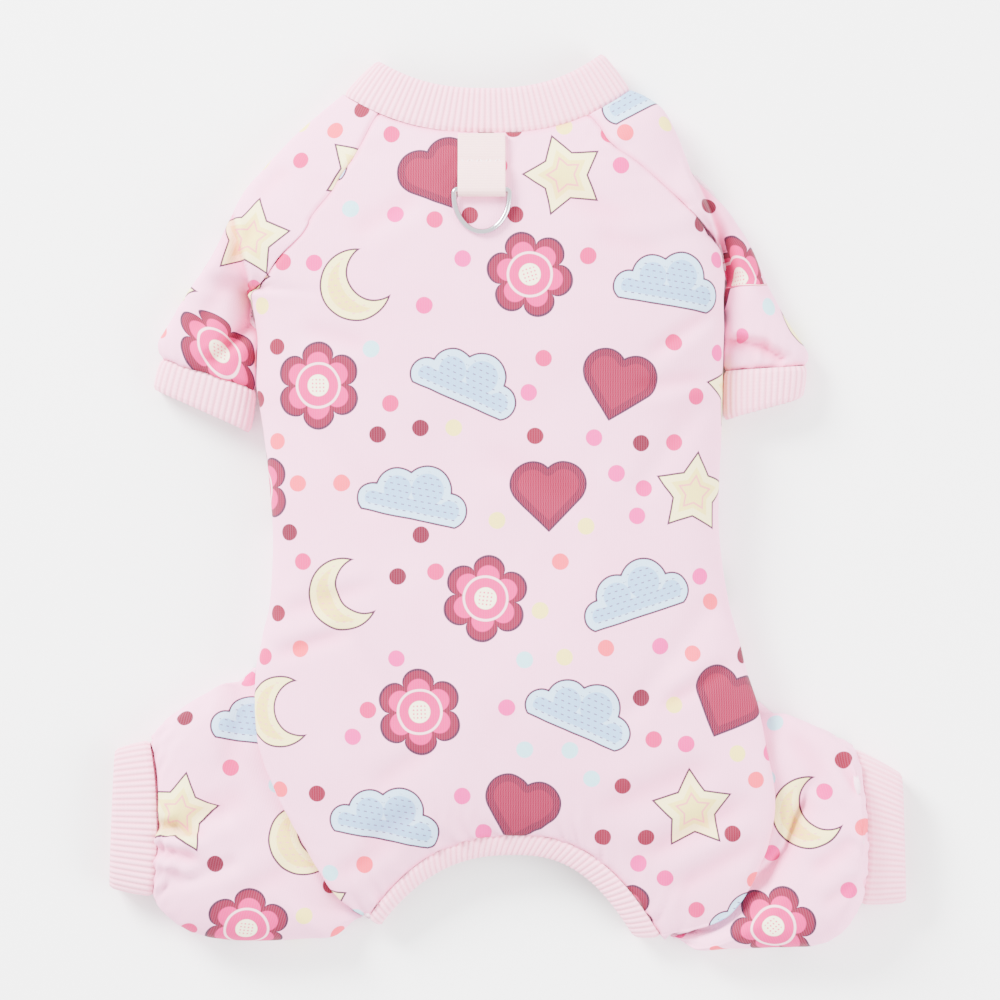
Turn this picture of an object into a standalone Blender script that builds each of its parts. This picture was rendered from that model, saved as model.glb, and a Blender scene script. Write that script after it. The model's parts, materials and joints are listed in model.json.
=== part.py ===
"""Dog jumpsuit of printed jersey and ribbed knit, laid flat with its back up.

Metres, +X to the right as seen from above, +Y to the neck, +Z up. The suit lies on z = 0.
Every cloth piece is an open surface lofted through sections, and Solidify gives it its wall.
Left and right are those of the dog, which are also the viewer's looking down on the back.
"""

import math

import bmesh
import bpy
import numpy as np

# Driving sizes, in metres
BACK_LENGTH = 0.297
CHEST_WIDTH = 0.193
TORSO_LOFT = 0.036
SIDE_ROLL = 0.004
SLEEVE_INSEAM = 0.040
SLEEVE_WIDTH = 0.043
SLEEVE_LOFT = 0.018
LEG_INSEAM = 0.092
LEG_LOFT = 0.026
COLLAR_WIDTH = 0.0195
SLEEVE_CUFF_WIDTH = 0.0195
LEG_CUFF_WIDTH = 0.0185
BINDING_WIDTH = 0.0085
JERSEY_WALL = 0.0012
RIB_WALL = 0.0018
RIB_PITCH = 0.0060
RIB_DEPTH = 0.0008
SEAM_GAP = 0.0004
PIECE_GAP = 0.0007
BAND_GAP = 0.0010
FOLD_GAP = 0.0014
FLOOR_GAP = 0.0012
GATHER_DEPTH = 0.0010
STRAP_WIDTH = 0.020
STRAP_THICKNESS = 0.0014
STRAP_LENGTH = 0.0240
RING_WIRE = 0.0024
RING_WIDTH = 0.0256
RING_REACH = 0.0178
RING_CORNER = 0.0014
RING_STRAIGHT = 0.0025
RING_CLEARANCE = 0.0004

# Columns and rows of the cloth grids
BACK_COLUMNS = 10
BACK_STEP = 0.5
BELLY_COLUMNS = 5
LIMB_COLUMNS = 22
LEG_STEP = 0.7
RING_POINTS = 7
STRAP_POINTS = 7

# Points of the dense lines that the grids' rows are spread along
TOP_SAMPLES = 28
EDGE_SAMPLES = 11
FLOOR_SAMPLES = 13
ROOT_SAMPLES = 40
TABLE_SAMPLES = 60
SHORTEST_STEP = 1e-7

# How the sections curve
TOP_POWER = 2.3
OVER_POWER = 3.0
BEND_POWER = 2.5
TURN_WEIGHT = 0.010
ROOT_EDGE = 0.17
ROOT_START = 0.1
ROOT_END = 0.2
STRAP_LIFT_START = 0.45
STRAP_LIFT_POWER = 1.5

# Sections of the torso from collar seam to rump arch. Places are shares of CHEST_WIDTH and BACK_LENGTH, heights
# shares of TORSO_LOFT. An end says where a panel stops on its side: 0 is the middle of the back, 1 the edge,
# 2 the floor under the edge, 3 the middle of the belly.
TORSO_COLUMNS = (
    "mid_x back_y belly_y left_x left_y right_x right_y crown edge roll "
    "left_back_end right_back_end left_belly_end right_belly_end"
).split()
TORSO = [
    (-0.031, 0.521, 0.498, -0.356, 0.579, 0.276, 0.584, 0.66, 0.26, 1.00, 0.77, 0.70, 2.20, 2.24),
    (-0.036, 0.468, 0.444, -0.454, 0.525, 0.347, 0.556, 0.80, 0.28, 1.00, 0.70, 0.70, 2.25, 2.25),
    (-0.036, 0.411, 0.397, -0.534, 0.468, 0.407, 0.475, 0.90, 0.30, 1.00, 0.70, 0.84, 2.24, 2.14),
    (-0.036, 0.350, 0.343, -0.599, 0.407, 0.448, 0.401, 0.97, 0.38, 1.00, 0.73, 0.96, 2.20, 2.04),
    (-0.036, 0.290, 0.286, -0.570, 0.313, 0.479, 0.327, 1.00, 0.44, 1.00, 0.93, 2.00, 2.05, 2.00),
    (-0.034, 0.260, 0.260, -0.557, 0.280, 0.479, 0.290, 1.00, 0.43, 1.00, 2.00, 2.12, 2.00, 2.12),
    (-0.031, 0.215, 0.215, -0.544, 0.225, 0.479, 0.235, 1.00, 0.41, 1.00, 2.25, 2.34, 2.25, 2.34),
    (-0.031, 0.158, 0.158, -0.546, 0.162, 0.477, 0.168, 0.98, 0.38, 1.00, 2.44, 2.48, 2.44, 2.48),
    (-0.026, 0.084, 0.084, -0.527, 0.084, 0.474, 0.084, 0.96, 0.36, 1.00, 2.52, 2.52, 2.52, 2.52),
    (-0.021, -0.027, -0.027, -0.510, -0.034, 0.468, -0.034, 0.95, 0.36, 1.00, 2.48, 2.50, 2.48, 2.50),
    (-0.016, -0.135, -0.128, -0.518, -0.152, 0.492, -0.152, 0.96, 0.40, 1.00, 2.26, 2.36, 2.26, 2.36),
    (-0.005, -0.219, -0.195, -0.545, -0.232, 0.547, -0.279, 0.95, 0.52, 0.90, 2.00, 2.00, 2.02, 2.02),
    (0.005, -0.293, -0.262, -0.545, -0.337, 0.575, -0.364, 0.90, 0.57, 0.17, 2.00, 2.00, 2.02, 2.02),
    (0.010, -0.354, -0.318, -0.503, -0.418, 0.591, -0.438, 0.84, 0.56, 0.17, 2.00, 2.00, 2.02, 2.02),
    (0.016, -0.407, -0.368, -0.440, -0.495, 0.560, -0.522, 0.77, 0.50, 0.19, 2.00, 2.00, 2.02, 2.02),
    (0.018, -0.451, -0.410, -0.373, -0.566, 0.482, -0.599, 0.66, 0.40, 0.26, 2.00, 2.00, 2.02, 2.02),
    (0.021, -0.480, -0.438, -0.301, -0.599, 0.339, -0.626, 0.52, 0.28, 0.90, 2.00, 2.00, 2.02, 2.02),
]
ARCH = len(TORSO) - 1
UNDERARM = {"left": 5, "right": 4}
NOTCH = 11
OUTWARD = {"left": -1, "right": 1}

# Where the collar's free edge lies beyond its seam, in shares of COLLAR_WIDTH; heights in shares of TORSO_LOFT
COLLAR_REACH = {"mid": (-0.10, 0.98), "belly": (-0.10, 0.87), "left": (0.70, 0.61), "right": (-0.66, 0.69)}
COLLAR_CROWN = 0.60
COLLAR_EDGE = 0.24

# Where the rump binding's free edge lies beyond its seam, in shares of BINDING_WIDTH; heights as the collar's
BINDING_REACH = {"mid": (0.0, -1.02), "belly": (0.0, -0.90), "left": (0.60, -0.40), "right": (-1.35, 0.0)}
BINDING_CROWN = 0.44
BINDING_EDGE = 0.25

# Sleeve arcs cut from the torso's sections, BACK_STEP apart: the outer edge's distance beyond the body edge in
# shares of SLEEVE_WIDTH, outward and to the neck
SLEEVE_ARCS = {
    "left": [
        (0, 0), (0, 0), (0, 0), (0, 0), (0, 0), (0, 0), (0, 0),
        (0.20, 0.00), (0.42, 0.11), (0.56, 0.09), (0.66, 0.07),
    ],
    "right": [
        (0, 0), (0, 0), (0, 0), (0, 0), (0, 0), (0.11, 0.01), (0.24, 0.01), (0.33, 0.01), (0.38, 0.01),
    ],
}
UNDERARM_REACH = 1.9
BELLY_INSET = 0.01
# Sleeve rings from underarm to cuff seam: distance below the underarm in shares of SLEEVE_INSEAM, the outer edge
# from the inner edge in shares of SLEEVE_WIDTH, outward and to the neck, and the crown in shares of SLEEVE_LOFT
SLEEVE_RINGS = {
    "left": [
        (0.28, 0.76, 0.22, 0.98), (0.55, 0.87, 0.29, 1.00),
        (0.78, 0.96, 0.34, 0.96), (0.92, 0.94, 0.31, 0.88),
    ],
    "right": [
        (0.25, 0.46, 0.03, 0.96), (0.50, 0.58, 0.03, 1.00), (0.76, 0.73, 0.04, 1.00),
        (0.94, 0.83, 0.05, 0.96), (1.07, 0.82, 0.05, 0.86),
    ],
}
SLEEVE_EDGE = 0.40
# Free edge of each sleeve cuff beyond its seam, outward and to the neck, in shares of SLEEVE_CUFF_WIDTH
SLEEVE_CUFF_REACH = {
    "left": {"inner": (0.13, -0.93), "outer": (0.18, -0.67)},
    "right": {"inner": (0.00, -1.06), "outer": (-0.09, -0.70)},
}
SLEEVE_CUFF_CROWN = 0.80

# Leg rings from the body fold to the cuff seam. The top point is measured from the notch and the bottom point from
# the crotch, outward and to the neck, in shares of LEG_INSEAM, as is the bend; the crown in shares of LEG_LOFT.
LEG_RINGS = {
    "left": [
        (0.14, -0.10, 0.15, -0.08, 0.165, 0.84), (0.28, -0.17, 0.37, -0.10, 0.12, 0.97),
        (0.38, -0.24, 0.65, -0.10, 0.06, 1.00), (0.45, -0.30, 0.87, -0.04, 0.00, 0.88),
        (0.50, -0.365, 1.00, 0.10, -0.03, 0.70),
    ],
    "right": [
        (0.13, -0.09, 0.17, -0.06, 0.27, 0.84), (0.27, -0.14, 0.44, -0.05, 0.22, 0.98),
        (0.38, -0.20, 0.70, -0.04, 0.15, 1.00), (0.42, -0.22, 0.84, 0.02, 0.08, 0.92),
        (0.465, -0.25, 0.93, 0.15, 0.04, 0.72),
    ],
}
LEG_EDGE = 0.40
# Free edge of each leg cuff beyond its seam, outward and to the neck, in shares of LEG_CUFF_WIDTH
LEG_CUFF_REACH = {
    "left": {"top": (0.80, -0.21), "bottom": (0.98, 0.20)},
    "right": {"top": (1.10, -0.60), "bottom": (1.03, 0.05)},
}
LEG_CUFF_CROWN = 0.62

# Folds pressed into the upper surface: start and end as shares of CHEST_WIDTH and BACK_LENGTH, depth in shares of
# TORSO_LOFT and width in shares of CHEST_WIDTH
FOLD_COLUMNS = "start_x start_y end_x end_y depth width".split()
FOLDS = [
    (-0.41, -0.13, -0.27, -0.27, 0.05, 0.030),
    (0.44, -0.16, 0.28, -0.30, 0.05, 0.030),
    (0.42, 0.13, 0.30, 0.02, 0.04, 0.028),
    (-0.43, 0.11, -0.30, 0.00, 0.04, 0.026),
    (0.67, -0.41, 0.57, -0.54, 0.10, 0.022),
    (-0.62, -0.45, -0.74, -0.47, 0.08, 0.018),
    (-0.60, -0.52, -0.74, -0.55, 0.07, 0.018),
    (-0.60, 0.40, -0.57, 0.26, 0.06, 0.030),
    (-0.57, 0.24, -0.66, 0.19, 0.05, 0.026),
    (0.43, 0.46, 0.49, 0.30, 0.06, 0.028),
    (0.50, 0.21, 0.62, 0.20, 0.05, 0.024),
]
PUCKER_SECTIONS = 1.3
# How deep the gathers are on a limb's last rows, from the cuff seam inward, in shares of GATHER_DEPTH
GATHER_SHARES = (1.0, 0.9, 0.5)
STRAP_X = -0.052

COLOURS = {
    "jersey": (0.91, 0.72, 0.83, 0.75, 0.0),
    "rib": (0.96, 0.77, 0.84, 0.85, 0.0),
    "webbing": (0.90, 0.79, 0.77, 0.65, 0.0),
    "chrome": (0.80, 0.80, 0.82, 0.18, 1.0),
}


def between_rows(rows, at):
    """The row at a fractional index, on a smooth curve through the rows of a table."""
    rows = np.asarray(rows, float)
    at = min(max(at, 0.0), len(rows) - 1.0)
    low = min(int(at), len(rows) - 2)
    share = at - low
    start = rows[low]
    end = rows[low + 1]
    slope_start = (end - rows[max(low - 1, 0)]) / 2
    slope_end = (rows[min(low + 2, len(rows) - 1)] - start) / 2
    square = share**2
    cube = share**3
    return (
        (2 * cube - 3 * square + 1) * start
        + (cube - 2 * square + share) * slope_start
        + (3 * square - 2 * cube) * end
        + (cube - square) * slope_end
    )


def named_row(table, columns, at):
    """The row at a fractional index, by the names of its columns."""
    return dict(zip(columns, between_rows(table, at)))


def spread(points, count, start_gap=0.0, end_gap=0.0, turn_weight=TURN_WEIGHT):
    """Points placed along a dense line, evenly by length and by how much it turns, clear of its ends by the gaps."""
    points = np.asarray(points, float)
    kept = np.concatenate([[True], np.linalg.norm(np.diff(points, axis=0), axis=1) > SHORTEST_STEP])
    points = points[kept]
    steps = np.diff(points, axis=0)
    lengths = np.linalg.norm(steps, axis=1)
    run = np.concatenate([[0], np.cumsum(lengths)])
    unit = steps / lengths[:, None]
    turns = np.zeros(len(steps))
    turns[1:] = np.arccos(np.clip((unit[1:] * unit[:-1]).sum(axis=1), -1, 1))
    measure = np.concatenate([[0], np.cumsum(lengths + turn_weight * turns)])
    first, last = np.interp([start_gap, run[-1] - end_gap], run, measure)
    wanted = np.linspace(first, last, count)
    return np.stack([np.interp(wanted, measure, points[:, axis]) for axis in range(3)], axis=1)


class Section:
    """A flat-bottomed pillow section between two plan points, which the pieces are cut from.

    Reach 0 is the middle of the top, 1 the edge, 2 the floor under the edge and 3 the middle of the floor side.
    """

    def __init__(self, mid, floor_mid, ends, crown, edge, roll_down, along):
        self.mids = (np.array(mid, float), np.array(floor_mid, float))
        self.ends = {side: np.array(end, float) for side, end in ends.items()}
        self.crown = crown
        self.edge = edge
        self.roll_down = roll_down
        self.along = np.array(along, float) / np.linalg.norm(along)

    def plan(self, side, share, level):
        """The plan point at a share of the half width, level 0 on the top side and 1 on the floor side."""
        mid = self.mids[0] + (self.mids[1] - self.mids[0]) * level
        offset = self.ends[side] - mid
        share = max(share, 0.0)
        straight = self.along * (offset @ self.along)
        return mid + straight * share + (offset - straight) * share**BEND_POWER

    def half_width(self, side):
        """The half width on a side, measured along the section."""
        return abs((self.ends[side] - self.mids[0]) @ self.along)

    def point(self, side, reach):
        """The section's point on a side, at a reach from 0 to 3."""
        width = self.half_width(side)
        roll_in = min(SIDE_ROLL, self.roll_down)
        if reach <= 1:
            inward = width * (1 - reach)
            height = self.edge + (self.crown - self.edge) * (1 - reach**TOP_POWER) ** (1 / TOP_POWER)
        elif reach <= 2:
            turn = (reach - 1) * math.pi / 2
            inward = roll_in * (1 - math.cos(turn))
            height = self.edge - self.roll_down * math.sin(turn)
        else:
            inward = roll_in + (width - roll_in) * (reach - 2)
            height = 0.0
        level = min(max(reach - 1, 0.0), 1.0)
        return np.array([*self.plan(side, 1 - inward / width, level), height])

    def cut(self, side, start, end):
        """A dense line along one side of the section, between two reaches."""
        reaches = [math.sin(angle) for angle in np.linspace(0, math.pi / 2, TOP_SAMPLES)]
        reaches += list(np.linspace(1, 2, EDGE_SAMPLES)[1:])
        reaches += list(np.linspace(2, 3, FLOOR_SAMPLES)[1:])
        return [self.point(side, r) for r in [start] + [r for r in reaches if start < r < end] + [end]]

    def loop(self, first, second):
        """The whole section, from the floor under its first end, over the top and back along the floor."""
        return (
            self.cut(first, 0, 2)[::-1]
            + self.cut(second, 0, 3)[1:]
            + self.cut(first, 2, 3)[::-1][1:]
        )


def torso_section(at):
    """The torso's section at a fractional index of the table."""
    row = named_row(TORSO, TORSO_COLUMNS, at)
    edge = row["edge"] * TORSO_LOFT
    return Section(
        (row["mid_x"] * CHEST_WIDTH, row["back_y"] * BACK_LENGTH),
        (row["mid_x"] * CHEST_WIDTH, row["belly_y"] * BACK_LENGTH),
        {side: (row[side + "_x"] * CHEST_WIDTH, row[side + "_y"] * BACK_LENGTH) for side in OUTWARD},
        row["crown"] * TORSO_LOFT,
        edge,
        edge * min(row["roll"], 1.0),
        (1, 0),
    )


def panel_end(side, panel, at):
    """The reach where a panel stops on a side, straight between the rows of the table."""
    column = TORSO_COLUMNS.index(f"{side}_{panel}_end")
    return float(np.interp(at, range(len(TORSO)), [row[column] for row in TORSO]))


def back_end(side, at):
    """The reach where the back panel stops: at the raglan seam, at the belly seam or under the leg fold."""
    if UNDERARM[side] <= at <= NOTCH - BACK_STEP:
        return panel_end(side, "belly", at)
    return min(panel_end(side, "back", at), 2.0)


def belly_end(side, at):
    """The reach where the belly panel stops, which is always on the floor."""
    return max(panel_end(side, "belly", at), 2.0 + BELLY_INSET)


def edge_at(side, y):
    """The plan point of the torso's edge at a height along the back."""
    dense = [torso_section(at).ends[side] for at in np.linspace(UNDERARM[side], NOTCH - 1, TABLE_SAMPLES)]
    dense = np.array(dense)[::-1]
    return np.array([np.interp(y, dense[:, 1], dense[:, 0]), y])


def toward(vector):
    """The vector at unit length."""
    return vector / np.linalg.norm(vector)


def over_tube(start, outer, crown, floor_end):
    """A dense line over a tube from a start point to its outer edge, round it, and along the floor to an end."""
    inward = toward(start[:2] - outer[:2])
    top = max(crown, start[2])
    line = []
    for share in np.linspace(0, 1, TOP_SAMPLES):
        falling = outer[2] + (top - outer[2]) * (1 - share**OVER_POWER) ** (1 / OVER_POWER)
        rising = (1 - max(1 - 2 * share, 0) ** TOP_POWER) ** (1 / TOP_POWER)
        plan = start[:2] + (outer[:2] - start[:2]) * share
        line.append(np.array([*plan, start[2] + (falling - start[2]) * rising]))
    for turn in np.linspace(0, math.pi / 2, EDGE_SAMPLES)[1:]:
        plan = outer[:2] + inward * SIDE_ROLL * (1 - math.cos(turn))
        line.append(np.array([*plan, outer[2] * (1 - math.sin(turn))]))
    return line + [floor_end]


def sleeve_arc(side, at, outward, neckward):
    """One arc of a sleeve, from the raglan seam on the back over its outer edge to the seam on the belly side."""
    section = torso_section(at)
    start = back_end(side, at)
    if outward == 0:
        return spread(section.cut(side, start, belly_end(side, at)), LIMB_COLUMNS + 1, SEAM_GAP, SEAM_GAP)
    seam = section.point(side, start)
    floor_end = section.point(side, belly_end(side, at))
    gap = SEAM_GAP
    if start > 1:
        seam[0] = section.ends[side][0] + OUTWARD[side] * PIECE_GAP
        gap = 0.0
    if start > UNDERARM_REACH:
        floor_end = np.array([*seam[:2], 0.0])
    outer = section.ends[side] + np.array([OUTWARD[side] * outward, neckward]) * SLEEVE_WIDTH
    line = over_tube(seam, np.array([*outer, SLEEVE_EDGE * SLEEVE_LOFT]), SLEEVE_LOFT, floor_end)
    return spread(line, LIMB_COLUMNS + 1, gap, gap)


def sleeve_ring(side, below, outward, neckward, crown):
    """The section of a sleeve's tube between underarm and cuff."""
    under_y = torso_section(UNDERARM[side]).ends[side][1]
    inner = edge_at(side, under_y - below * SLEEVE_INSEAM)
    inner = inner + np.array([OUTWARD[side] * PIECE_GAP, 0])
    outer = inner + np.array([OUTWARD[side] * outward, neckward]) * SLEEVE_WIDTH
    return tube_section(inner, outer, "inner", "outer", crown * SLEEVE_LOFT, SLEEVE_EDGE * SLEEVE_LOFT)


def tube_section(first, second, first_name, second_name, crown, edge, bend=(0.0, 0.0)):
    """A flat-bottomed section between two plan points, its middle moved aside by the bend."""
    mid = (np.array(first) + np.array(second)) / 2 + np.array(bend)
    ends = {first_name: first, second_name: second}
    return Section(mid, mid, ends, crown, edge, edge, np.array(second) - np.array(first))


def leg_section(side, ring):
    """The section of a leg's tube at one row of its table."""
    top_out, top_up, bottom_out, bottom_up, bend, crown = ring
    notch = torso_section(NOTCH).ends[side]
    crotch = torso_section(ARCH).ends[side]
    outward = OUTWARD[side]
    top = notch + np.array([outward * top_out, top_up]) * LEG_INSEAM
    bottom = crotch + np.array([outward * bottom_out, bottom_up]) * LEG_INSEAM
    normal = toward(np.array([outward * (top - bottom)[1], -outward * (top - bottom)[0]]))
    return tube_section(
        top, bottom, "top", "bottom", crown * LEG_LOFT, LEG_EDGE * LEG_LOFT, normal * bend * LEG_INSEAM
    )


def leg_root(side):
    """The leg's first loop: under the body's fold from notch to crotch, then back along the floor."""
    low_edge = ROOT_EDGE * LEG_LOFT
    upper = []
    lower = []
    for at in np.linspace(NOTCH + ROOT_START, ARCH - ROOT_END, ROOT_SAMPLES):
        section = torso_section(at)
        under = section.point(side, 2.0)
        outside = section.plan(side, 1 + PIECE_GAP / section.half_width(side), 0)
        belly = section.point(side, belly_end(side, at))
        tucked = min(max((under[2] - low_edge - FLOOR_GAP) / low_edge, 0.0), 1.0)
        top = outside + (under[:2] - outside) * tucked
        floor = outside + (belly[:2] - outside) * tucked
        inset = np.array([OUTWARD[side] * FLOOR_GAP, 0])
        upper.append(np.array([*top, max(under[2] - FOLD_GAP, low_edge)]))
        lower.append(np.array([*(floor + inset), 0.0]))
    return [lower[0]] + upper + lower[::-1]


def press(point):
    """The point with the pressed folds taken out of its height."""
    depth = 0.0
    for fold in FOLDS:
        row = dict(zip(FOLD_COLUMNS, fold))
        start = np.array([row["start_x"] * CHEST_WIDTH, row["start_y"] * BACK_LENGTH])
        end = np.array([row["end_x"] * CHEST_WIDTH, row["end_y"] * BACK_LENGTH])
        run = end - start
        share = np.clip((point[:2] - start) @ run / (run @ run), 0, 1)
        away = np.linalg.norm(point[:2] - start - run * share) / (row["width"] * CHEST_WIDTH)
        depth += row["depth"] * TORSO_LOFT * math.exp(-(away**2))
    low = SLEEVE_LOFT / 2
    weight = min(max((point[2] - low) / low, 0.0), 1.0)
    return np.array([point[0], point[1], point[2] - depth * weight])


def inward_normals(row, axis):
    """Unit vectors pointing into a closed loop, across its tangent and the given axis."""
    tangent = np.roll(row, -1, axis=0) - np.roll(row, 1, axis=0)
    normals = np.cross(tangent, axis)
    normals /= np.linalg.norm(normals, axis=1)[:, None]
    lowest = np.argsort(row[:, 2])[: len(row) // 4]
    return normals * (1 if normals[lowest, 2].sum() > 0 else -1)


def ruffle(row, axis, depth):
    """A closed loop with every other point moved in, which makes its ribs or gathers."""
    moved = row.copy()
    moved[1::2] += inward_normals(row, axis)[1::2] * depth
    return moved


def rib_band(seam, free, first, second, loops=2):
    """Loops of a ribbed band, from just beyond its seam section to its free section."""
    start = np.array(seam.loop(first, second))
    end = np.array(free.loop(first, second))
    run = np.linalg.norm(np.diff(start, axis=0), axis=1).sum()
    columns = 2 * max(round(run / RIB_PITCH), 6)
    start = spread(start, columns + 1, turn_weight=0)[:-1]
    end = spread(end, columns + 1, turn_weight=0)[:-1]
    axis = toward(end.mean(axis=0) - start.mean(axis=0))
    own = (end - start) / np.linalg.norm(end - start, axis=1)[:, None]
    away = own + axis
    start = start + away / np.linalg.norm(away, axis=1)[:, None] * BAND_GAP
    return [ruffle(start + (end - start) * share, axis, RIB_DEPTH) for share in np.linspace(0, 1, loops)]


def shifted_section(section, reach, width, crown, edge):
    """A band's free-edge section: the seam's section with its four points moved by shares of the width."""
    moved = {name: np.array(share) * width for name, share in reach.items()}
    ends = {side: section.ends[side] + moved[side] for side in section.ends}
    return Section(
        section.mids[0] + moved["mid"], section.mids[1] + moved["belly"], ends, crown, edge, edge, section.along
    )


def back_rows():
    """Rows of the back panel, each from its left end over the back to its right end."""
    rows = []
    count = round(ARCH / BACK_STEP)
    for step in range(count + 1):
        at = ARCH * step / count
        section = torso_section(at)
        halves = []
        for side in ("left", "right"):
            line = section.cut(side, 0, back_end(side, at))
            halves.append(spread(line, BACK_COLUMNS + 1, 0, SEAM_GAP))
        row = np.concatenate([halves[0][::-1], halves[1][1:]])
        near_arch = max(1 - (ARCH - at) / PUCKER_SECTIONS, 0)
        row[1::2, 2] -= GATHER_DEPTH * near_arch
        rows.append([press(point) for point in row])
    return rows


def belly_rows():
    """Rows of the belly panel on the floor, from its left seam to its right seam."""
    rows = []
    count = round(ARCH / BACK_STEP)
    for step in range(count + 1):
        at = ARCH * step / count
        section = torso_section(at)
        halves = []
        for side in ("left", "right"):
            line = section.cut(side, belly_end(side, at), 3)
            halves.append(spread(line, BELLY_COLUMNS + 1, SEAM_GAP, 0))
        rows.append(np.concatenate([halves[0], halves[1][::-1][1:]]))
    return rows


def sleeve_rows(side):
    """Arcs that end on the raglan seams, then closed rings down to the cuff seam."""
    rows = [sleeve_arc(side, BACK_STEP * index, *arc) for index, arc in enumerate(SLEEVE_ARCS[side])]
    for ring in SLEEVE_RINGS[side]:
        loop = sleeve_ring(side, *ring).loop("inner", "outer")
        rows.append(spread(loop, LIMB_COLUMNS + 1))
    axis = rows[-1].mean(axis=0) - rows[-2].mean(axis=0)
    for row, share in enumerate(GATHER_SHARES[:2], 1):
        rows[-row][:-1] = ruffle(rows[-row][:-1], axis, GATHER_DEPTH * share)
        rows[-row][-1] = rows[-row][0]
    return [[press(point) for point in row] for row in rows]


def leg_rows(side):
    """Closed loops from the fold of the body to the leg's cuff seam."""
    rows = [spread(leg_root(side), LIMB_COLUMNS + 1)[:-1]]
    last = len(LEG_RINGS[side]) - 1
    count = round(last / LEG_STEP)
    for step in range(count + 1):
        ring = between_rows(LEG_RINGS[side], last * step / count)
        loop = leg_section(side, ring).loop("top", "bottom")
        rows.append(spread(loop, LIMB_COLUMNS + 1)[:-1])
    axis = rows[-1].mean(axis=0) - rows[-3].mean(axis=0)
    for row, share in enumerate(GATHER_SHARES, 1):
        rows[-row] = ruffle(rows[-row], axis, GATHER_DEPTH * share)
    return [[press(point) for point in row] for row in rows]


def collar_rows():
    """Loops of the neck collar beyond the first section."""
    seam = torso_section(0)
    free = shifted_section(
        seam, COLLAR_REACH, COLLAR_WIDTH, COLLAR_CROWN * TORSO_LOFT, COLLAR_EDGE * TORSO_LOFT
    )
    return rib_band(seam, free, "left", "right")


def binding_rows():
    """Loops of the rump binding beyond the arch."""
    seam = torso_section(ARCH)
    seam.roll_down = seam.edge
    free = shifted_section(
        seam, BINDING_REACH, BINDING_WIDTH, BINDING_CROWN * TORSO_LOFT, BINDING_EDGE * TORSO_LOFT
    )
    return rib_band(seam, free, "left", "right")


def cuff_rows(side, seam, reach, width, crown, edge, first, second):
    """Loops of a cuff beyond a limb's last section."""
    ends = []
    for name in (first, second):
        out, up = reach[name]
        ends.append(seam.ends[name] + np.array([OUTWARD[side] * out, up]) * width)
    free = tube_section(ends[0], ends[1], first, second, crown, edge)
    return rib_band(seam, free, first, second)


def sleeve_cuff_rows(side):
    """Loops of a front sleeve's cuff."""
    return cuff_rows(
        side, sleeve_ring(side, *SLEEVE_RINGS[side][-1]), SLEEVE_CUFF_REACH[side], SLEEVE_CUFF_WIDTH,
        SLEEVE_CUFF_CROWN * SLEEVE_LOFT, SLEEVE_EDGE * SLEEVE_LOFT, "inner", "outer",
    )


def leg_cuff_rows(side):
    """Loops of a rear leg's cuff."""
    return cuff_rows(
        side, leg_section(side, LEG_RINGS[side][-1]), LEG_CUFF_REACH[side], LEG_CUFF_WIDTH,
        LEG_CUFF_CROWN * LEG_LOFT, LEG_EDGE * LEG_LOFT, "top", "bottom",
    )


def back_height(y):
    """Height of the middle of the back at a place along it."""
    rows = [torso_section(at) for at in np.linspace(0, NOTCH, TABLE_SAMPLES)]
    rows.reverse()
    return np.interp(y, [row.mids[0][1] for row in rows], [row.crown for row in rows])


def strap_layout():
    """Places of the strap's seam, the ring's bar axis and the far end of the ring's bow, as (y, z) pairs."""
    seam_y = torso_section(0).mids[0][1] - PIECE_GAP
    bar_y = seam_y - STRAP_LENGTH
    bow_y = bar_y - RING_REACH
    bar_z = back_height(bar_y) + PIECE_GAP + STRAP_THICKNESS + RING_CLEARANCE + RING_WIRE / 2
    bow_z = back_height(bow_y) + PIECE_GAP + RING_WIRE / 2
    return seam_y, (bar_y, bar_z), (bow_y, bow_z)


def strap_rows():
    """Rows across the strap: down its lower layer, round the bar and back along its upper layer."""
    seam_y, (bar_y, bar_z), _ = strap_layout()
    radius = RING_WIRE / 2 + RING_CLEARANCE + STRAP_THICKNESS / 2
    layer = STRAP_THICKNESS + SEAM_GAP
    lower = []
    upper = []
    for share in np.linspace(0, 1, STRAP_POINTS):
        y = seam_y + (bar_y - seam_y) * share
        low = back_height(y) + PIECE_GAP + STRAP_THICKNESS / 2
        lower.append((y, low))
        lift = (max(share - STRAP_LIFT_START, 0) / (1 - STRAP_LIFT_START)) ** STRAP_LIFT_POWER
        upper.append((y, low + layer + (bar_z + radius - low - layer) * lift))
    turn = np.linspace(-math.pi / 2, math.pi / 2, RING_POINTS)[1:-1]
    round_bar = [(bar_y - radius * math.cos(a), bar_z + radius * math.sin(a)) for a in turn]
    profile = lower + round_bar + upper[::-1]
    middle = STRAP_X * CHEST_WIDTH
    edges = (middle - STRAP_WIDTH / 2, middle + STRAP_WIDTH / 2)
    return [[np.array([x, y, z]) for x in edges] for y, z in profile]


def ring_points():
    """Centre line of the D-ring, from the middle of its bar, which is its origin, in its own plane."""
    half = (RING_WIDTH - RING_WIRE) / 2
    points = [(0.0, 0.0)]
    for angle in np.linspace(math.pi / 2, 0, 4):
        points.append((half - RING_CORNER * (1 - math.cos(angle)), -RING_CORNER * (1 - math.sin(angle))))
    side = RING_STRAIGHT
    for angle in np.linspace(0, math.pi, 2 * RING_POINTS):
        points.append((half * math.cos(angle), -side - (RING_REACH - side) * math.sin(angle)))
    points += [(-x, y) for x, y in points[4:0:-1]]
    return points


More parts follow.
